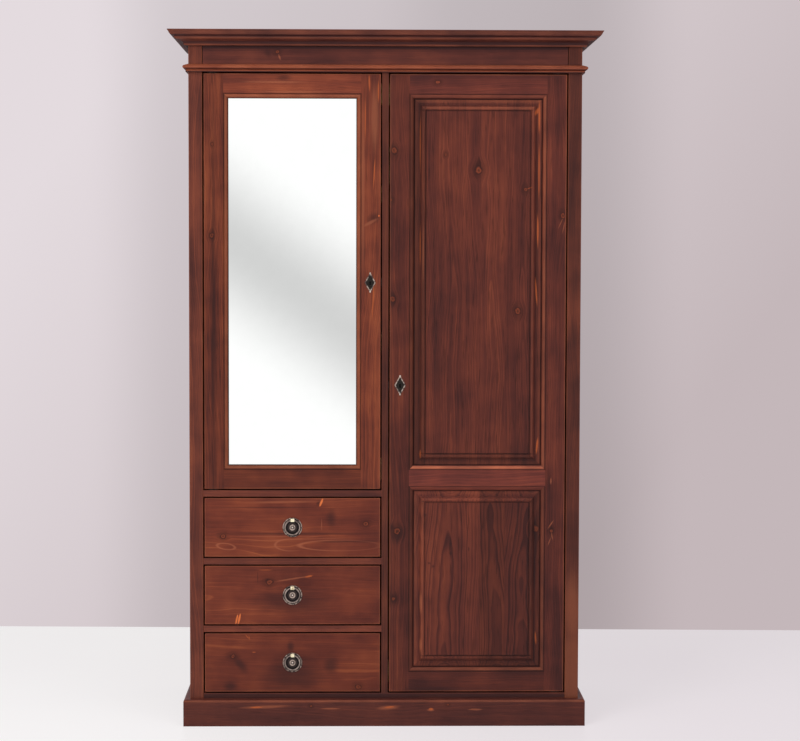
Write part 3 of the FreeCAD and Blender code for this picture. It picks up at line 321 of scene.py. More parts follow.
@dataclass
class Board:
    """The wood, stain and marks of a piece. Places are in the frame at rest. Knots are (x, z, radius), and
    smears, worn, bright and chips are (x, z, half width, half height, turn in degrees) on the front."""

    # Axes of the grain and across the face
    along: str
    across: str
    stain: list
    # Sets the figure of the wood apart from other boards
    seed: float
    level: float = 1.0
    # The tree's centre, across the face and in depth, how far its rings are apart, and their squeeze in depth
    pith: tuple = (0.0, 0.05)
    spacing: float = 0.0055
    depth_scale: float = 1.0
    # (axis, place) from which another board starts
    boards: tuple = ()
    # Equal staves of one width, or (place across the face, shift of the pith) from which another one starts
    stave_width: float = 0.0
    staves: tuple = ()
    # Over a height: (height, pith's depth, rings, streaks)
    above: tuple = ()
    # How much shows of each: streaks, yearly rings, pale ring edges, dark flecks and cloudy stain
    streaks: float = 0.6
    rings: float = 0.5
    pale: float = 0.0
    flecks: float = 0.3
    blotch: float = 0.9
    # The share of cells with a knot by chance, and the knots that have a place
    knotty: float = 0.4
    knots: tuple = ()
    smears: tuple = ()
    worn: tuple = ()
    bright: tuple = ()
    chips: tuple = ()
    # Rings of wear, as a mark with its line's width and what is left of it on its far side
    loops: tuple = ()
    # (z, half height, amount): a painted highlight with some wear where the amount is positive, and a painted
    # shadow where it is negative
    stripes: tuple = ()
    # (axis, place, level over it), and (x from and to, z from and to, level)
    steps: tuple = ()
    panes: tuple = ()
    # The openings whose moulding the piece carries, or whose panel it is
    frame_of: tuple = ()
    panel_in: tuple = ()
    # The face whose edges are rubbed, with a painted highlight on them. Where there is one, or the gap flag
    # is set, the sides of the gaps get a painted shade
    outline: tuple = None
    gap: bool = False
    roughness: float = 0.46
    specular: float = 0.2


class Pine(Surface):
    """Knotty pine. Paint runs the steps in their order, and each leaves what later ones need."""

    def __init__(self, name, board):
        super().__init__(name)
        self.board = board
        depth = "xyz".replace(board.along, "").replace(board.across, "")
        self.across, self.along, self.depth = [self.axis[k] for k in (board.across, board.along, depth)]
        self.front = self.vector(self.axis["x"], self.axis["z"])
        self.facing_out = self.smooth(self.axis["y"], *MARK_DEPTHS, 1.0, 0.0)
        self.normal = self.split(self.add("TexCoord", output="Normal"))

    def paint(self):
        self.choose_boards()
        self.place_knots()
        self.grow_rings()
        self.spread_stain()
        colour = self.stained()
        colour = self.marked(colour)
        colour = self.knotted(colour)
        for moulding, openings in ((FRAME_MOULDING, [(o, o.frame) for o in self.board.frame_of]),
                                   (PANEL_MARGIN, [(o, o.margin) for o in self.board.panel_in])):
            if openings:
                colour = self.moulded(colour, moulding, openings)
        colour = self.rubbed_and_highlit(colour)
        colour = self.striped_light_and_shade(colour)
        colour = self.scaled(colour, self.light())
        gloss = self.vary(self.board.roughness, self.fibre, 0.22)
        gloss = self.vary(gloss, self.patch, 0.12)
        height = self.weigh(self.late, 0.35, self.times(self.fibre, 0.8))
        return self.finish(colour, gloss, height, 0.00028, specular=self.board.specular)

    def choose_boards(self):
        """Which board of the piece a point is in, its chances, and where the tree's centre is there."""
        board = self.board
        number, centre = board.seed, board.pith[0]
        for axis, at in board.boards:
            number = self.weigh(self.over(self.axis[axis], at), BOARD_STEP, number)
        if board.stave_width:
            stave = self.math("FLOOR", self.math("DIVIDE", self.across, board.stave_width))
            number = self.weigh(stave, STAVE_STEP, number)
            centre = self.weigh(self.plus(stave, 0.5), board.stave_width, centre)
        for at, shift in board.staves:
            past = self.over(self.across, at)
            number = self.weigh(past, STAVE_STEP, number)
            centre = self.weigh(past, shift, centre)
        chance = self.add("TexWhiteNoise", {"W": number}, output="Color", noise_dimensions="1D")
        self.chances = self.split(chance)
        self.centre = self.vary(centre, self.chances[0], 0.06)
        self.start = self.times(number, START_STEP)
        self.pith_depth, self.rings, self.streaks = board.pith[1], board.rings, board.streaks
        if board.above:
            height, *others = board.above
            higher = self.over(self.axis["z"], height)
            usual = (self.pith_depth, self.rings, self.streaks)
            self.pith_depth, self.rings, self.streaks = [
                self.pick(higher, other, own) for other, own in zip(others, usual)]

    def place_knots(self):
        """How near the nearest knot is, in its radii, and where the grain would lie if none pushed it."""
        bend = self.times(self.minus(self.noise(self.place, 34.0), 0.5), 0.006)
        flat = self.vector(self.plus(self.across, bend), self.times(self.minus(self.along, bend), KNOT_OVAL))
        push, nearest = 0.0, FAR_OFF
        for x, z, radius in self.board.knots:
            across, along = (x, z) if self.board.across == "x" else (z, x)
            away = self.distance(flat, (across, along * KNOT_OVAL, 0.0))
            share = self.smooth(away, radius, radius * KNOT_REACH, KNOT_PUSH, 0.0)
            push = self.weigh(self.minus(self.across, across), share, push)
            nearest = self.math("MINIMUM", nearest, self.math("DIVIDE", away, radius))
        if self.board.knotty:
            off, ratio = self.chance_knot()
            push = self.weigh(off, self.smooth(ratio, 1.0, KNOT_REACH, KNOT_PUSH, 0.0), push)
            nearest = self.math("MINIMUM", nearest, ratio)
        self.nearest = nearest
        self.grain = self.minus(self.across, push)

    def chance_knot(self):
        """How far across the grain the nearest knot by chance is, and how far in all, in its radii."""
        cells_across, cells_along = KNOT_CELLS
        cell = self.vector(self.weigh(self.across, cells_across, self.start),
                           self.weigh(self.along, cells_along, self.start))
        inputs = {"Vector": cell, "Scale": 1.0, "Randomness": 0.75}
        voronoi = self.add("TexVoronoi", inputs, voronoi_dimensions="2D").node.outputs
        kind = self.split(voronoi["Color"])
        off = self.add("VectorMath", {0: cell, 1: voronoi["Position"]}, operation="SUBTRACT")
        metres = (1 / cells_across, KNOT_OVAL / cells_along, 0.0)
        off = self.add("VectorMath", {0: off, 1: metres}, operation="MULTIPLY")
        away = self.plus(self.length(off), self.over(kind[1], self.board.knotty))
        radius = self.smooth(kind[0], 0.0, 1.0, *KNOT_RADII)
        return self.split(off)[0], self.math("DIVIDE", away, radius)

    def figure(self, across, kind):
        """Noise in the wood, drawn out along the grain."""
        scale, along_scale, detail = kind
        along = self.weigh(self.along, along_scale, self.start)
        place = self.vector(self.times(across, scale), along, self.times(self.depth, scale))
        return self.noise(place, detail=detail)

    def grow_rings(self):
        """The yearly rings round a pith that wanders along the board, and how dark the late wood is."""
        slow = self.figure(self.grain, WANDERING)
        quick = self.figure(self.grain, RIPPLE)
        side = self.vary(self.minus(self.grain, self.centre), slow, 0.11)
        deep = self.times(self.minus(self.depth, self.pith_depth), self.board.depth_scale)
        radius = self.vary(self.length(self.vector(side, deep)), quick, 0.011)
        radius = self.weigh(self.along, 0.012, radius)
        inputs = {"W": self.weigh(radius, 60.0, self.start), "Scale": 1.0, "Detail": 1.0}
        uneven = self.add("TexNoise", inputs, noise_dimensions="1D")
        ring = self.weigh(uneven, 2.2, self.math("DIVIDE", radius, self.board.spacing))
        self.ring_part = self.math("FRACT", ring)
        number = self.math("FLOOR", ring)
        self.ring_chance = self.add("TexWhiteNoise", {"W": number}, output="Value", noise_dimensions="1D")
        late = self.band(self.ring_part, (0.25, 0.88), (0.90, 1.0))
        self.late = self.times(late, self.weigh(self.ring_chance, 0.9, 0.25))

    def spread_stain(self):
        """Streaks and fibres that follow the grain, and patches and clouds that don't."""
        self.streak = self.figure(self.grain, STREAK)
        self.fibre = self.figure(self.grain, FIBRE)
        self.patch = self.figure(self.across, PATCH)
        self.cloud = self.figure(self.across, CLOUD)
        self.wear_and_highlight = self.vary(self.weigh(self.fibre, 0.5, 0.55), self.cloud, 1.6)

    def stained(self):
        """The clean wood under its stain."""
        board = self.board
        share = self.vary(0.5, self.streak, self.times(1.15, self.streaks))
        share = self.weigh(self.minus(self.late, 0.22), self.times(0.34, self.rings), share)
        share = self.vary(share, self.fibre, 0.26)
        share = self.vary(share, self.patch, 0.80 * board.blotch)
        share = self.vary(share, self.cloud, 0.45 * board.blotch)
        share = self.vary(share, self.chances[1], 0.14)
        if board.pale:
            thin = self.band(self.ring_part, (0.72, 0.86), (0.88, 0.99))
            chosen = self.times(self.over(self.ring_chance, 0.55), self.smooth(self.patch, 0.50, 0.62))
            share = self.weigh(self.times(thin, chosen), board.pale, share)
        colour = self.ramp(share, list(zip(TONE_STOPS, board.stain)))
        if board.flecks:
            dash = self.figure(self.grain, FLECK)
            colour = self.scaled(colour, self.smooth(dash, 0.60, 0.70, 1.0, 1.0 - 0.5 * board.flecks))
        return colour

    def within(self, x, z, half_x, half_z, turn):
        """A point's place in a mark, where the mark's edge is at 1."""
        inputs = {"Vector": self.front, "Location": (x, z, 0.0), "Rotation": (0.0, 0.0, math.radians(turn)),
                  "Scale": (half_x, half_z, 1.0)}
        return self.add("Mapping", inputs, vector_type="TEXTURE")

    def mark(self, colour, marks, kind):
        """Marks of one kind, broken up by the fibres."""
        if not marks:
            return colour
        shade, most, edge, ragged = kind
        near = FAR_OFF
        for places in marks:
            near = self.math("MINIMUM", near, self.length(self.within(*places)))
        unevenness = self.vary(self.times(self.minus(self.patch, 0.5), 0.8), self.fibre, 0.9)
        near = self.weigh(unevenness, ragged, near)
        return self.mix(self.times(self.smooth(near, *edge, most, 0.0), self.facing_out), colour, shade)

    def marked(self, colour):
        """Smears, rings of wear, worn and bright marks, and chips."""
        board = self.board
        colour = self.mark(colour, board.smears, SMEARED)
        for *places, width, left_over in board.loops:
            place = self.within(*places)
            line = self.smooth(self.apart(self.length(place), 1.0), 0.0, width, 0.85, 0.0)
            fade = self.smooth(self.split(place)[0], -0.7, 0.9, 1.0, left_over)
            colour = self.mix(self.times(self.times(line, fade), self.facing_out), colour, WORN_AND_HIGHLIGHT)
        colour = self.mark(colour, board.worn, RUBBED)
        colour = self.mark(colour, board.bright, BARED)
        return self.mark(colour, board.chips, CHIPPED)

    def knotted(self, colour):
        """The knots, each in a soft dark ring."""
        if not (self.board.knots or self.board.knotty):
            return colour
        ratio = self.vary(self.nearest, self.noise(self.place, 95.0, 3.0), 1.5)
        colour = self.scaled(colour, self.smooth(ratio, 0.9, 3.4, 0.70, 1.0))
        return self.mix(self.smooth(ratio, 0.95, 1.30, 0.78, 0.0), colour, self.ramp(ratio, KNOT))

    def nearest_side(self, openings):
        """How far a point is outside its nearest opening, and that side's painted light and shade, its wear
        with a painted highlight, and the strength of its painted hollow shade.
        """
        best = None
        for hole, sides in openings:
            from_x = self.minus(self.axis["x"], (hole.left + hole.right) / 2)
            from_z = self.minus(self.axis["z"], (hole.bottom + hole.top) / 2)
            far_x = self.minus(self.math("ABSOLUTE", from_x), (hole.right - hole.left) / 2)
            far_z = self.minus(self.math("ABSOLUTE", from_z), (hole.top - hole.bottom) / 2)
            upright = self.over(far_z, far_x)
            is_right, is_top = self.over(from_x, 0.0), self.over(from_z, 0.0)
            found = [self.math("MAXIMUM", far_x, far_z)]
            for left, right, bottom, top in (sides.light, sides.wear_and_highlight):
                level = self.pick(is_top, top, bottom)
                found.append(self.pick(upright, level, self.pick(is_right, right, left)))
            found.append(sides.hollow_shade)
            if best is None:
                best = found
            else:
                nearer = self.math("LESS_THAN", found[0], best[0])
                best = [self.pick(nearer, one, other) for one, other in zip(found, best)]
        return best

    def profile(self, far, stops, power):
        """An amount that runs with the distance from an opening's edge."""
        places = [(at / 1000 / PROFILE_SPAN, (amount ** power,) * 3 + (1.0,)) for at, amount in stops]
        return self.ramp(self.times(far, 1 / PROFILE_SPAN), places)

    def moulded(self, colour, moulding, openings):
        """Painted shade in the joint and hollows of a moulding, wear on its rounds that is partly a painted
        highlight, and painted light and shade on its four sides.
        """
        far, light, worn, hollow_shade = self.nearest_side(openings)
        far = self.times(far, moulding.way)
        # Painted shade in the joint and the hollows
        colour = self.mix(hollow_shade, colour, self.profile(far, moulding.shade, GAMMA), "MULTIPLY")
        rounds = self.profile(far, moulding.wear_and_highlight, 1.0)
        # Wear on the rounds, partly a painted highlight
        worn = self.math("MULTIPLY", self.times(worn, self.wear_and_highlight), rounds, clamp=True)
        colour = self.mix(worn, colour, WORN_AND_HIGHLIGHT)
        inside = self.smooth(far, moulding.width - 0.002, moulding.width, 1.0, 0.0)
        # Painted light and shade, by the side of the opening
        return self.scaled(colour, self.math("POWER", self.pick(inside, light, 1.0), GAMMA))

    def rubbed_and_highlit(self, colour):
        """Wear along the edges of the outline, with a painted highlight on the worn edges."""
        if not self.board.outline:
            return colour
        left, right, bottom, top = self.board.outline
        from_side = self.math("MINIMUM", self.minus(self.axis["x"], left), self.minus(right, self.axis["x"]))
        from_end = self.math("MINIMUM", self.minus(self.axis["z"], bottom), self.minus(top, self.axis["z"]))
        edge = self.math("MINIMUM", from_side, from_end)
        worn = self.math("MULTIPLY", self.smooth(edge, 0.0012, 0.0034, 0.50, 0.0), self.wear_and_highlight, clamp=True)
        return self.mix(self.times(worn, self.facing_out), colour, WORN_AND_HIGHLIGHT)

    def striped_light_and_shade(self, colour):
        """Painted highlights with some wear, and painted shadows, as lines at one height, as on the rounds
        and in the hollows of a cornice.
        """
        for z, half, amount in self.board.stripes:
            off = self.apart(self.axis["z"], z)
            share = self.smooth(off, half * 0.5, half * 1.2, abs(amount), 0.0)
            if amount > 0:
                share = self.math("MULTIPLY", share, self.wear_and_highlight, clamp=True)
            colour = self.mix(share, colour, WORN_AND_HIGHLIGHT if amount > 0 else SMEAR_AND_SHADOW)
        return colour

    def light(self):
        """The linear level of the piece: its own, darker on end grain, with its steps and panes, and a
        painted shade in its gaps.
        """
        board = self.board
        own = board.level ** GAMMA
        on_end = self.math("ABSOLUTE", self.normal["xyz".index(board.along)])
        level = self.smooth(on_end, 0.6, 0.9, own, 0.62 * own)
        for axis, at, step in board.steps:
            past = self.smooth(self.axis[axis], at - SOFT_STEP, at + SOFT_STEP, 1.0, step ** GAMMA)
            level = self.times(level, past)
        for left, right, bottom, top, pane in board.panes:
            inside = self.times(self.between("x", left, right), self.between("z", bottom, top))
            level = self.times(level, self.weigh(inside, pane ** GAMMA - 1.0, 1.0))
        if board.outline or board.gap:
            # Painted shade on the sides of the gaps
            level = self.times(level, self.weigh(self.gap_shade_mask(), GAP_SHADE_LEVEL - 1.0, 1.0))
        return level

    def between(self, axis, low, high):
        """1 between two places on an axis, with soft edges outside them."""
        half = (high - low) / 2
        return self.smooth(self.apart(self.axis[axis], (low + high) / 2), half, half + SOFT_PANE, 1.0, 0.0)

    def gap_shade_mask(self):
        """1 on the faces that look into a gap, near the front, where a painted shade goes."""
        sideways = self.smooth(self.math("ABSOLUTE", self.normal[1]), 0.35, 0.55, 1.0, 0.0)
        near_front = self.smooth(self.axis["y"], *GAP_DEPTHS, 1.0, 0.0)
        inner = self.math("LESS_THAN", self.math("ABSOLUTE", self.axis["x"]), GAPS_WITHIN)
        return self.times(self.times(sideways, near_front), inner)


def pine(name, pieces, along, across, stain, **looks):
    """Dresses pieces in a pine of their own, whose board has these looks."""
    dress(Pine(name, Board(along, across, stain, **looks)).paint(), *pieces)


# Carcass
SHADED_SIDE = {"level": 0.80, "specular": 0.08, "roughness": 0.6}
SIDE_PAIR = [("x", 0.0)]
pine("left_post_pine", ["left_front_post"], "z", "x", CARCASS, seed=1.0, level=0.95, pith=(-0.6, -0.2),
     knotty=0.3, streaks=0.45, outline=face("left_front_post"))
pine("right_post_pine", ["right_front_post"], "z", "x", CARCASS, seed=2.0, level=0.85, pith=(0.61, -0.19),
     knotty=0.3, streaks=0.45, outline=face("right_front_post"),
     worn=[(0.527, 0.15, 0.04, 0.15, 0.0), (0.527, 0.33, 0.03, 0.12, 0.0)])
pine("rear_post_pine", ["rear_posts"], "z", "y", CARCASS, seed=3.0, pith=(0.34, 0.0), boards=SIDE_PAIR)
pine("side_rail_pine", ["left_side_rails", "right_side_rails"], "y", "z", CARCASS, seed=4.0,
     pith=(0.9, 0.45), boards=[("z", 0.5), ("z", 1.5)])
pine("side_panel_pine", ["left_side_panels", "right_side_panels"], "z", "y", CARCASS, seed=5.0,
     pith=(0.0, 0.62), stave_width=0.118, boards=[*SIDE_PAIR, ("z", 0.66)])
# Its stripe is a painted shadow just above the plinth
pine("inner_frame_pine", ["drawer_divider_rails", "drawer_deck", "bottom_panel"], "x", "z", CARCASS,
     seed=13.0, pith=(0.4, -0.2), streaks=0.35, rings=0.3, boards=[("z", 0.3), ("z", 0.5)], knotty=0.0,
     stripes=[(0.082, 0.008, -0.85)], gap=True)
pine("partition_pine", ["centre_partition"], "z", "y", CARCASS, seed=14.0, level=0.8, pith=(0.0, 0.06),
     stave_width=0.13, streaks=0.4, gap=True)

# Frieze, with a dark line where it joins each post, and a painted shadow of the cornice along its top
frieze_left, frieze_right, *frieze_heights = face("frieze_rail")
JOINT_OUT, JOINT_IN, JOINT_LEVEL = 0.0010, 0.0012, 0.35
pine("frieze_pine", ["frieze_rail"], "x", "z", MOULDING, seed=6.0, level=1.03, pith=(1.84, -0.12),
     knotty=0.0, streaks=0.35, rings=0.3, knots=[(-0.3, 1.8826, 0.005)],
     worn=[(-0.294, 1.869, 0.003, 0.01, 20.0)], smears=[(-0.325, 1.88, 0.012, 0.018, 20.0)],
     stripes=[(1.8955, 0.0052, -0.95), (1.889, 0.005, -0.35)],
     panes=[(frieze_left - JOINT_OUT, frieze_left + JOINT_IN, *frieze_heights, JOINT_LEVEL),
            (frieze_right - JOINT_IN, frieze_right + JOINT_OUT, *frieze_heights, JOINT_LEVEL)], gap=True)

# Mouldings round the top and the foot. Their stripes are painted highlights with some wear on the rounds,
# among them the plinth's rounded top edge, and painted shadows in the hollows and under the rounds
pine("cornice_pine", ["cornice_front"], "x", "z", MOULDING, seed=7.0, level=1.06, pith=(1.8, -0.3),
     knotty=0.1, streaks=0.3, rings=0.25, flecks=0.5,
     stripes=[(1.933, 0.007, 0.25), (1.924, 0.002, -0.6), (1.9175, 0.0034, 0.34), (1.9075, 0.0042, -0.7),
              (1.9008, 0.002, 0.35)])
pine("cornice_return_pine", ["cornice_returns"], "y", "z", MOULDING, seed=8.0, pith=(1.8, 0.5),
     boards=SIDE_PAIR, knotty=0.2, **SHADED_SIDE)
pine("astragal_pine", ["astragal_front"], "x", "z", DRAWER, seed=9.0, pith=(1.8, -0.26), knotty=0.0,
     streaks=0.3, rings=0.2,
     stripes=[(1.8455, 0.0026, 0.85), (1.8395, 0.0026, 0.55), (1.8355, 0.0014, -0.5), (1.8315, 0.002, 0.6),
              (1.8282, 0.0018, -0.85)])
pine("astragal_return_pine", ["astragal_returns"], "y", "z", DRAWER, seed=10.0, pith=(1.8, 0.5),
     boards=SIDE_PAIR, knotty=0.1, **SHADED_SIDE)
pine("plinth_pine", ["plinth_front"], "x", "z", MOULDING, seed=11.0, level=0.97, pith=(0.02, -0.2),
     streaks=0.2, rings=0.2, blotch=0.6, flecks=0.5, stripes=[(0.0705, 0.0034, 0.45)],
     worn=[(-0.335, 0.055, 0.075, 0.005, 2.0), (0.01, 0.052, 0.036, 0.007, 4.0),
           (0.13, 0.045, 0.012, 0.004, 0.0), (0.255, 0.047, 0.02, 0.003, 0.0),
           (-0.15, 0.05, 0.03, 0.003, 0.0)],
     bright=[(-0.36, 0.054, 0.02, 0.003, 2.0), (0.014, 0.054, 0.016, 0.003, 4.0),
             (0.131, 0.048, 0.007, 0.004, 0.0)])
pine("plinth_return_pine", ["plinth_returns", "plinth_rear_rail"], "y", "z", MOULDING, seed=12.0,
     pith=(0.03, 0.48), boards=SIDE_PAIR)

# Plain boards inside, behind and on top
pine("top_pine", ["top_panel"], "x", "y", PLAIN, seed=15.0, pith=(0.0, 1.86), stave_width=0.12)
pine("back_pine", ["back_panels"], "z", "x", PLAIN, seed=16.0, pith=(0.0, 0.24), stave_width=0.115)
pine("shelf_pine", ["linen_shelves", "hat_shelf"], "x", "y", PLAIN, seed=17.0, pith=(0.0, 1.2),
     stave_width=0.12, boards=[("z", 1.3)])
pine("batten_pine", ["shelf_battens", "drawer_runners"], "y", "z", PLAIN, seed=18.0, boards=SIDE_PAIR,
     knotty=0.2)
pine("stop_pine", ["door_stops", "mirror_beads"], "x", "z", PLAIN, seed=19.0, knotty=0.0)
pine("backing_pine", ["mirror_backing_board"], "z", "x", PLAIN, seed=20.0, pith=(0.0, -0.19),
     stave_width=0.09)

# Mirror door
MIRROR_FRAME = {"frame_of": [MIRROR_OPENING], "outline": MIRROR_FACE, "knotty": 0.0}
pine("mirror_hinge_stile_pine", ["mirror_door_hinge_stile"], "z", "x", MIRROR_DOOR, seed=21.0, level=0.83,
     pith=(-0.55, -0.19), streaks=0.85, flecks=0.6, knots=[(-0.48, 1.628, 0.004), (-0.482, 1.375, 0.006)],
     bright=[(-0.449, 1.36, 0.0014, 0.2, 0.0)], smears=[(-0.478, 1.25, 0.006, 0.62, 0.0)], **MIRROR_FRAME)
pine("mirror_lock_stile_pine", ["mirror_door_lock_stile"], "z", "x", MIRROR_DOOR, seed=22.0, level=0.885,
     pith=(0.04, -0.2), streaks=0.9, flecks=0.5, chips=[(-0.0176, 1.431, 0.003, 0.0026, 0.0)],
     bright=[(-0.045, 1.8, 0.0026, 0.024, 2.0), (-0.02, 1.776, 0.0022, 0.032, 0.0),
             (-0.031, 1.548, 0.0022, 0.048, -3.0), (-0.0332, 1.207, 0.0022, 0.082, -2.5),
             (-0.056, 1.7, 0.0016, 0.06, 0.0)],
     worn=[(-0.042, 1.412, 0.028, 0.005, 28.0), (-0.062, 1.5, 0.005, 0.26, 0.0),
           (-0.03, 1.7, 0.012, 0.1, 0.0)], smears=[(-0.03, 1.425, 0.024, 0.016, 25.0)], **MIRROR_FRAME)
pine("mirror_rail_pine", ["mirror_door_rails"], "x", "z", MIRROR_DOOR, seed=23.0, level=0.81,
     steps=[("z", 1.2, 1.18)], boards=[("z", 1.2)], pith=(0.62, -0.18), streaks=0.4, rings=0.3,
     smears=[(-0.2816, 1.8115, 0.024, 0.012, 0.0)],
     worn=[(-0.25, 1.773, 0.12, 0.004, 0.0), (-0.3, 1.8, 0.1, 0.004, 0.0)], **MIRROR_FRAME)

# Frame of the panel door
PANEL_FRAME = {"frame_of": [UPPER_OPENING, LOWER_OPENING], "outline": PANEL_FACE, "knotty": 0.0}
pine("panel_hinge_stile_pine", ["panel_door_hinge_stile"], "z", "x", PANEL_DOOR, seed=24.0, level=0.98,
     pith=(0.58, -0.19), streaks=0.5, flecks=0.5, knots=[(0.495, 1.433, 0.006), (0.4671, 0.5492, 0.005)],
     worn=[(0.4655, 0.567, 0.0018, 0.016, -35.0), (0.47, 0.535, 0.0018, 0.013, 10.0),
           (0.462, 0.518, 0.0016, 0.013, -20.0), (0.466, 0.69, 0.0024, 0.01, 0.0),
           (0.49, 1.415, 0.0014, 0.022, -25.0), (0.497, 1.4, 0.0014, 0.018, -12.0)], **PANEL_FRAME)
pine("panel_lock_stile_pine", ["panel_door_lock_stile"], "z", "x", PANEL_DOOR, seed=25.0, level=0.9,
     pith=(-0.05, -0.19), streaks=0.5, flecks=0.5,
     knots=[(0.0237, 1.611, 0.008), (0.0157, 1.475, 0.004), (0.02, 1.2, 0.007), (0.0345, 0.549, 0.009),
            (0.0237, 0.358, 0.006)],
     smears=[(0.0345, 0.535, 0.02, 0.026, -20.0), (0.02, 0.56, 0.01, 0.012, 0.0),
             (0.0225, 0.358, 0.01, 0.014, 0.0), (0.023, 1.196, 0.01, 0.02, 0.0)], **PANEL_FRAME)
pine("panel_rail_pine", ["panel_door_rails"], "x", "z", PANEL_DOOR, seed=26.0, level=0.92,
     steps=[("z", 0.4, 1.36), ("z", 1.2, 0.863)], boards=[("z", 0.4), ("z", 1.2)], pith=(0.62, -0.18),
     streaks=0.35, rings=0.3, knots=[(0.1448, 1.8016, 0.005)], **PANEL_FRAME)

# Raised panels, which part at this height. The lower one is glued up from three boards
PARTING = 0.7
LOWER_BOARDS = (0.2665, 0.3368)
pine("raised_panel_pine", ["panel_door_panels"], "z", "x", PANEL_DOOR, seed=27.0, level=0.97,
     boards=[("z", PARTING)], pith=(0.19, -0.2235),
     staves=[(LOWER_BOARDS[0], 0.1), (LOWER_BOARDS[1], 0.09)], spacing=0.0048, depth_scale=3.2, knotty=0.0,
     streaks=0.3, rings=-0.85, above=(PARTING, -0.24, 0.5, 0.5), flecks=0.7, blotch=0.7,
     panes=[(0.1, LOWER_BOARDS[0], 0.1, PARTING, 0.99), (*LOWER_BOARDS, 0.1, PARTING, 0.86),
            (LOWER_BOARDS[1], 0.45, 0.1, PARTING, 0.93), (0.0, 0.5, PARTING, 1.8, 0.96),
            (0.07, 0.113, PARTING, 1.8, 0.84), (0.2187, 0.2946, PARTING, 1.8, 1.02)],
     knots=[(0.2599, 1.559, 0.0095), (0.3695, 1.167, 0.008), (0.3903, 1.505, 0.0055),
            (0.1671, 1.602, 0.004), (0.4249, 0.555, 0.009)],
     smears=[(0.185, 0.512, 0.005, 0.006, 0.0), (0.185, 0.486, 0.005, 0.006, 0.0),
             (0.125, 0.458, 0.006, 0.0045, -20.0), (0.136, 0.449, 0.006, 0.006, 30.0),
             (0.236, 0.498, 0.003, 0.007, 0.0), (0.113, 0.594, 0.006, 0.006, 0.0)],
     bright=[(0.428, 1.705, 0.0036, 0.055, 0.0), (0.422, 1.722, 0.006, 0.014, -30.0),
             (0.428, 1.56, 0.002, 0.09, 0.0), (0.422, 1.22, 0.0028, 0.04, 4.0),
             (0.4462, 1.25, 0.0016, 0.1, 0.0), (0.097, 1.63, 0.002, 0.085, 0.0),
             (0.0975, 1.345, 0.002, 0.06, 0.0), (0.4255, 1.39, 0.0028, 0.05, 0.0),
             (0.401, 1.509, 0.01, 0.0014, 20.0), (0.438, 0.5, 0.0024, 0.045, 0.0),
             (0.4385, 0.38, 0.002, 0.03, 0.0), (0.426, 0.245, 0.0026, 0.02, 5.0),
             (0.099, 0.765, 0.003, 0.014, 0.0), (0.427, 0.79, 0.003, 0.024, -6.0)],
     worn=[(0.102, 0.345, 0.0045, 0.032, 0.0), (0.102, 0.225, 0.0045, 0.022, 0.0),
           (0.106, 1.33, 0.003, 0.09, 0.0)], panel_in=[UPPER_OPENING, LOWER_OPENING])


# Drawers, from the top
def drawer_front(number, level, pith, **marks):
    """Dresses the front of a drawer in a board with its own marks."""
    front = f"drawer_{number}_front"
    pine(f"drawer_{number}_pine", [front], "x", "z", DRAWER, seed=30.0 + number, level=level, pith=pith,
         spacing=0.009, streaks=0.22, rings=0.16, pale=0.2, flecks=0.15, blotch=1.15, knotty=0.0,
         outline=face(front), **marks)


drawer_front(1, 0.96, (0.5, -0.19), knots=[(-0.4535, 0.5352, 0.006), (-0.0525, 0.569, 0.006)],
             chips=[(-0.1776, 0.63, 0.0032, 0.0136, -22.0)],
             smears=[(-0.15, 0.585, 0.016, 0.03, 0.0), (-0.186, 0.628, 0.006, 0.012, -20.0),
                     (-0.25, 0.5415, 0.23, 0.0045, 0.0), (-0.33, 0.616, 0.18, 0.0016, 0.0),
                     (-0.12, 0.52, 0.11, 0.004, 0.0)],
             worn=[(-0.3, 0.534, 0.17, 0.0013, 0.0), (-0.24, 0.526, 0.18, 0.0013, 1.5),
                   (-0.1766, 0.566, 0.0014, 0.02, 0.0), (-0.28, 0.631, 0.12, 0.004, 1.0)],
             loops=[(-0.4445, 0.5056, 0.025, 0.0085, -8.0, 0.28, 0.8),
                    (-0.262, 0.51, 0.045, 0.017, 0.0, 0.13, 0.0),
                    (-0.125, 0.5084, 0.114, 0.015, 0.0, 0.12, 0.25)])
drawer_front(2, 0.95, (0.33, -0.19), knots=[(-0.3243, 0.4059, 0.007)],
             chips=[(-0.415, 0.2995, 0.0026, 0.015, -12.0), (-0.4078, 0.301, 0.0032, 0.0165, -12.0)],
             bright=[(-0.334, 0.4393, 0.021, 0.001, 0.0), (-0.212, 0.4215, 0.012, 0.003, 12.0)],
             worn=[(-0.26, 0.414, 0.052, 0.0026, 9.0)],
             smears=[(-0.356, 0.418, 0.0014, 0.018, 0.0), (-0.258, 0.35, 0.12, 0.04, 0.0)])
drawer_front(3, 0.92, (0.15, -0.19), knots=[(-0.425, 0.1954, 0.006), (-0.0734, 0.1083, 0.006)],
             smears=[(-0.405, 0.172, 0.012, 0.03, 38.0), (-0.1514, 0.168, 0.024, 0.028, 0.0),
                     (-0.255, 0.14, 0.09, 0.05, 0.0), (-0.4325, 0.1088, 0.02, 0.014, 0.0),
                     (-0.2639, 0.2221, 0.01, 0.018, 0.0)],
             bright=[(-0.3857, 0.2506, 0.0014, 0.01, 40.0), (-0.38, 0.248, 0.0014, 0.008, 10.0),
                     (-0.3669, 0.2067, 0.006, 0.0014, 0.0)])
for number in (1, 2, 3):
    box = f"drawer_{number}_box"
    pine(box + "_pine", [box], "y", "z", PLAIN, seed=33.0 + number, pith=(0.4, 0.0), knotty=0.25)


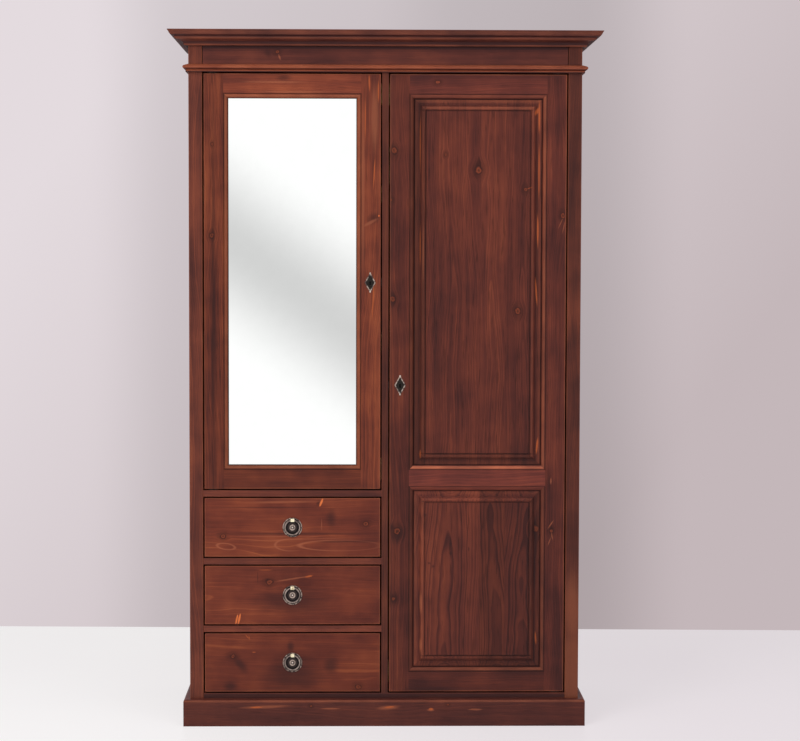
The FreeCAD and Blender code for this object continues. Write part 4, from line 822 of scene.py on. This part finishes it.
# Metals
PEWTER_DARK, PEWTER, PEWTER_PALE = tones((74, 63, 60), (190, 171, 158), (236, 220, 208))
CHANNEL, FIELD = tones((22, 17, 19), (74, 70, 60))
BRASS_DARK, BRASS = tones((176, 146, 96), (255, 244, 208))


def worn_pewter(g):
    """Pewter between dark and bright by its scratches and tarnish, and where they are."""
    spots = g.noise(g.place, 700.0, 3.0, 0.6)
    cloud = g.noise(g.place, 140.0, 1.0)
    share = g.plus(g.times(spots, 0.4), g.times(cloud, 0.6))
    return g.mix(g.smooth(share, 0.42, 0.58), PEWTER_DARK, PEWTER), share


def finish_pewter(g, colour, spots, metallic):
    """Pewter is shinier where it is scratched."""
    return g.finish(colour, g.weigh(spots, -0.25, 0.50), spots, 0.00008, metallic=metallic)


def rosette_metal(name, node):
    """The tones of a rosette: pewter rim, dark channel, grey dome with a pale middle, and a brass eye."""
    g = Surface(name)
    x, z = middle(node)
    above = g.minus(g.axis["z"], z)
    radius = g.length(g.vector(g.minus(g.axis["x"], x), above))
    pewter, spots = worn_pewter(g)
    channel = g.mix(g.times(spots, 0.25), CHANNEL, PEWTER_DARK)
    colour = g.mix(g.smooth(radius, 0.0232, 0.0244), channel, pewter)
    dome = g.band(radius, (0.0092, 0.0104), (0.0132, 0.0144))
    colour = g.mix(g.times(dome, 0.55), colour, PEWTER_DARK)
    boss = g.band(radius, (0.0042, 0.0050), (0.0080, 0.0092))
    colour = g.mix(g.times(boss, g.smooth(spots, 0.35, 0.60, 0.35, 1.0)), colour, PEWTER)
    colour = g.mix(g.smooth(radius, 0.0020, 0.0030, 1.0, 0.0), colour, PEWTER_PALE)
    proud = g.smooth(g.axis["y"], FRONT - 0.004, FRONT - 0.003, 1.0, 0.0)
    eye = g.times(proud, g.over(above, 0.0150))
    colour = g.mix(eye, colour, g.mix(g.smooth(spots, 0.30, 0.48), BRASS_DARK, BRASS))
    return finish_pewter(g, colour, spots, g.weigh(eye, -0.65, 0.80))


def plate_metal(name, node):
    """The tones of a keyhole plate: a worn pewter rim and pins round a nearly black field."""
    g = Surface(name)
    x, z = middle(node)
    left, right, bottom, top = face(node)
    off_x, off_z = g.apart(g.axis["x"], x), g.apart(g.axis["z"], z)
    edge = g.plus(g.times(off_x, 2 / (right - left)), g.times(off_z, 2 / (top - bottom)))
    pewter, spots = worn_pewter(g)
    colour = g.mix(g.smooth(edge, 0.76, 0.82), g.mix(g.times(spots, 0.5), CHANNEL, FIELD), pewter)
    colour = g.mix(g.times(g.smooth(off_z, 0.0232, 0.0240), 0.5), colour, PEWTER_PALE)
    return finish_pewter(g, colour, spots, 0.8)


def plain_metal(name, dark, pale, roughness, along="z"):
    """Drawn or cast metal with fine lines and a little tarnish."""
    g = Surface(name)
    stretch = [30.0 if axis == along else 500.0 for axis in "xyz"]
    lines = g.noise(g.add("VectorMath", {0: g.place, 1: stretch}, operation="MULTIPLY"))
    cloud = g.noise(g.place, 60.0)
    share = g.plus(g.times(lines, 0.6), g.times(cloud, 0.4))
    colour = g.mix(g.smooth(share, 0.3, 0.7), tone(*dark), tone(*pale))
    return g.finish(colour, g.weigh(lines, 0.2, roughness), lines, 0.00003, metallic=0.95)


for number in (1, 2, 3):
    rosette = f"drawer_{number}_rosette"
    dress(rosette_metal(f"rosette_{number}_pewter", rosette), rosette)
for door in ("mirror", "panel"):
    plate = door + "_door_escutcheon"
    dress(plate_metal(door + "_plate_pewter", plate), plate)
dress(plain_metal("ring_pewter", (92, 80, 76), (202, 186, 174), 0.28),
      "drawer_1_ring", "drawer_2_ring", "drawer_3_ring")
dress(plain_metal("lock_steel", (34, 31, 30), (62, 57, 54), 0.45, "y"), "mirror_door_lock", "panel_door_lock")
dress(plain_metal("bolt_steel", (96, 90, 86), (150, 142, 134), 0.34, "x"),
      "mirror_door_bolt", "panel_door_bolt")
dress(plain_metal("old_steel", (40, 34, 33), (80, 70, 66), 0.42, "y"),
      "strike_plates", "frame_pivot_plates", "mirror_door_pivots", "panel_door_pivots")
dress(plain_metal("rail_steel", (180, 180, 180), (212, 212, 210), 0.18, "x"), "hanging_rail", "rail_flanges")


def silvered_glass():
    """The mirror: clean silver behind glass, dull and grey at its rear and edges."""
    g = Surface("silvered_glass")
    face_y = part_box("mirror_glass")[0][1]
    haze = g.noise(g.place, 30.0, 3.0)
    front = g.smooth(g.axis["y"], face_y + 0.0002, face_y + 0.0010, 1.0, 0.0)
    colour = g.mix(front, tone(96, 98, 96), g.mix(haze, tone(250, 251, 250), tone(254, 255, 254)))
    roughness = g.plus(g.times(haze, 0.004), g.times(g.minus(1.0, front), 0.4))
    return g.finish(colour, roughness, metallic=1.0)


dress(silvered_glass(), "mirror_glass")


def stage_sheet(name, corners, material):
    """A flat sheet of the studio, which isn't part of the object."""
    mesh = bpy.data.meshes.new(name)
    mesh.from_pydata(corners, [], [tuple(range(len(corners)))])
    mesh.materials.append(material)
    piece = bpy.data.objects.new(name, mesh)
    scene.collection.objects.link(piece)
    return piece


def floor_paint():
    """Pale paint with painted light, paler to the left, which also glows a little in what is seen of it."""
    g = Surface("floor_paint")
    cloud = g.times(g.minus(g.noise(g.place, 1.2), 0.5), 0.25)
    # Painted light: paler to the left
    share = g.plus(g.smooth(g.axis["x"], -1.0, 1.1), cloud)
    colour = g.mix(share, tone(252, 250, 250), tone(238, 231, 235))
    material = g.finish(colour, 0.35, specular=0.25)
    rays = g.add("LightPath").node.outputs
    glow = g.add("Emission", {"Color": colour, "Strength": 1.0})
    share = g.times(g.math("MAXIMUM", rays["Is Camera Ray"], rays["Is Glossy Ray"]), 0.7)
    output = g.tree.nodes["Material Output"].inputs["Surface"]
    g.feed(output, g.add("MixShader", {0: share, 1: g.shader.outputs[0], 2: glow}))
    return material


def card_light():
    """White light with a soft grey band across it."""
    material = bpy.data.materials.new("card_light")
    material.use_nodes = True
    g = Graph(material.node_tree)
    g.tree.nodes.clear()
    x, _, z = g.split(g.add("TexCoord", output="Object"))
    off = g.apart(g.weigh(x, 0.72, z), 0.795)
    strength = g.smooth(off, 0.0, 0.66, 0.66, 1.03)
    emission = g.add("Emission", {"Color": (1.0, 1.0, 1.0, 1.0), "Strength": strength})
    g.feed(g.tree.nodes.new("ShaderNodeOutputMaterial").inputs["Surface"], emission)
    return material


# Studio: a pale floor that ends at the backdrop's foot, and a white card that only the mirror shows
FLOOR_HALF, FLOOR_NEAR = 9, -10
FOOT_LEFT, FOOT_RIGHT = 1.61, 0.99
CARD_HALF, CARD_Y, CARD_BOTTOM, CARD_TOP = 3, -6.6, 0.02, 3.2
floor_corners = [(-FLOOR_HALF, FLOOR_NEAR, 0), (FLOOR_HALF, FLOOR_NEAR, 0),
                 (FLOOR_HALF, FOOT_RIGHT, 0), (-FLOOR_HALF, FOOT_LEFT, 0)]
card_corners = [(-CARD_HALF, CARD_Y, CARD_BOTTOM), (CARD_HALF, CARD_Y, CARD_BOTTOM),
                (CARD_HALF, CARD_Y, CARD_TOP), (-CARD_HALF, CARD_Y, CARD_TOP)]
stage_sheet("floor", floor_corners, floor_paint())
card = stage_sheet("white_card", card_corners, card_light())
card.visible_camera = card.visible_diffuse = card.visible_shadow = card.visible_transmission = False


def paint_world():
    """The world: what is seen of it is the backdrop, and what lights the object is a soft white."""
    world = bpy.data.worlds.new("studio")
    scene.world = world
    world.use_nodes = True
    g = Graph(world.node_tree)
    g.tree.nodes.clear()
    x, y, z = g.split(g.add("TexCoord", output="Generated"))
    # Painted light on the backdrop: paler to the left and upwards
    share = g.math("MULTIPLY_ADD", z, -2.0, g.weigh(x, 2.6, 0.45), clamp=True)
    shade = g.mix(share, tone(228, 219, 223), tone(196, 183, 186))
    # A painted shadow of the wardrobe: it is a little darker close to the wardrobe, on both sides, and more
    # so on the right
    wall_shadow = g.band(x, (-0.128, -0.080), (0.100, 0.155))
    wall_shadow = g.times(g.times(wall_shadow, g.smooth(x, 0.0, 0.05, 0.16, 0.24)), g.over(y, 0.0))
    shade = g.scaled(shade, g.minus(1.0, wall_shadow))
    rays = g.add("LightPath").node.outputs
    mirrored = g.math("MAXIMUM", rays["Is Glossy Ray"], rays["Is Transmission Ray"])
    seen = g.math("MAXIMUM", rays["Is Camera Ray"], mirrored)
    backdrop = g.add("Background", {"Color": shade, "Strength": 1.0})
    sky = g.add("Background", {"Color": tone(255, 253, 254), "Strength": g.smooth(z, -0.3, 1.0, 0.14, 0.34)})
    shader = g.add("MixShader", {0: seen, 1: sky, 2: backdrop})
    g.feed(g.tree.nodes.new("ShaderNodeOutputWorld").inputs["Surface"], shader)


def lamp(name, place, aim, size, power):
    """A soft lamp, which reflections don't show."""
    data = bpy.data.lights.new(name, "AREA")
    data.shape = "RECTANGLE"
    data.size, data.size_y = size
    data.energy = power
    piece = bpy.data.objects.new(name, data)
    piece.location = place
    piece.rotation_euler = (Vector(aim) - Vector(place)).to_track_quat("-Z", "Y").to_euler()
    piece.visible_glossy = False
    scene.collection.objects.link(piece)


paint_world()
lamp("key", (-2.6, -4.4, 3.6), (0, 0, 0.9), (2.2, 2.2), 130)
lamp("fill", (3.4, -4.6, 2.2), (0, 0, 1.0), (2.0, 2.0), 37)
lamp("top", (0.0, -1.9, 4.4), (0, -0.4, 0), (4.0, 2.4), 72)

# Camera, as fitted to the photograph: angles in radians, place in metres, lens in millimetres
YAW, PITCH, ROLL = -0.0191, -0.0564, 0.0024
EYE = (-0.07255, -6.2351, 1.33837)
SENSOR_WIDTH, FOCAL_LENGTH = 36, 96.66


def place_camera():
    forward = Vector((-math.sin(YAW) * math.cos(PITCH), math.cos(YAW) * math.cos(PITCH), math.sin(PITCH)))
    level_right = Vector((math.cos(YAW), math.sin(YAW), 0.0))
    upright = level_right.cross(forward)
    right = level_right * math.cos(ROLL) + upright * math.sin(ROLL)
    up = upright * math.cos(ROLL) - level_right * math.sin(ROLL)
    lens = bpy.data.cameras.new("camera")
    lens.sensor_width = SENSOR_WIDTH
    lens.lens = FOCAL_LENGTH
    camera = bpy.data.objects.new("camera", lens)
    turn = Matrix((right, up, -forward)).transposed().to_4x4()
    camera.matrix_world = Matrix.Translation(EYE) @ turn
    scene.collection.objects.link(camera)
    scene.camera = camera


place_camera()
scene.view_settings.view_transform = "Standard"
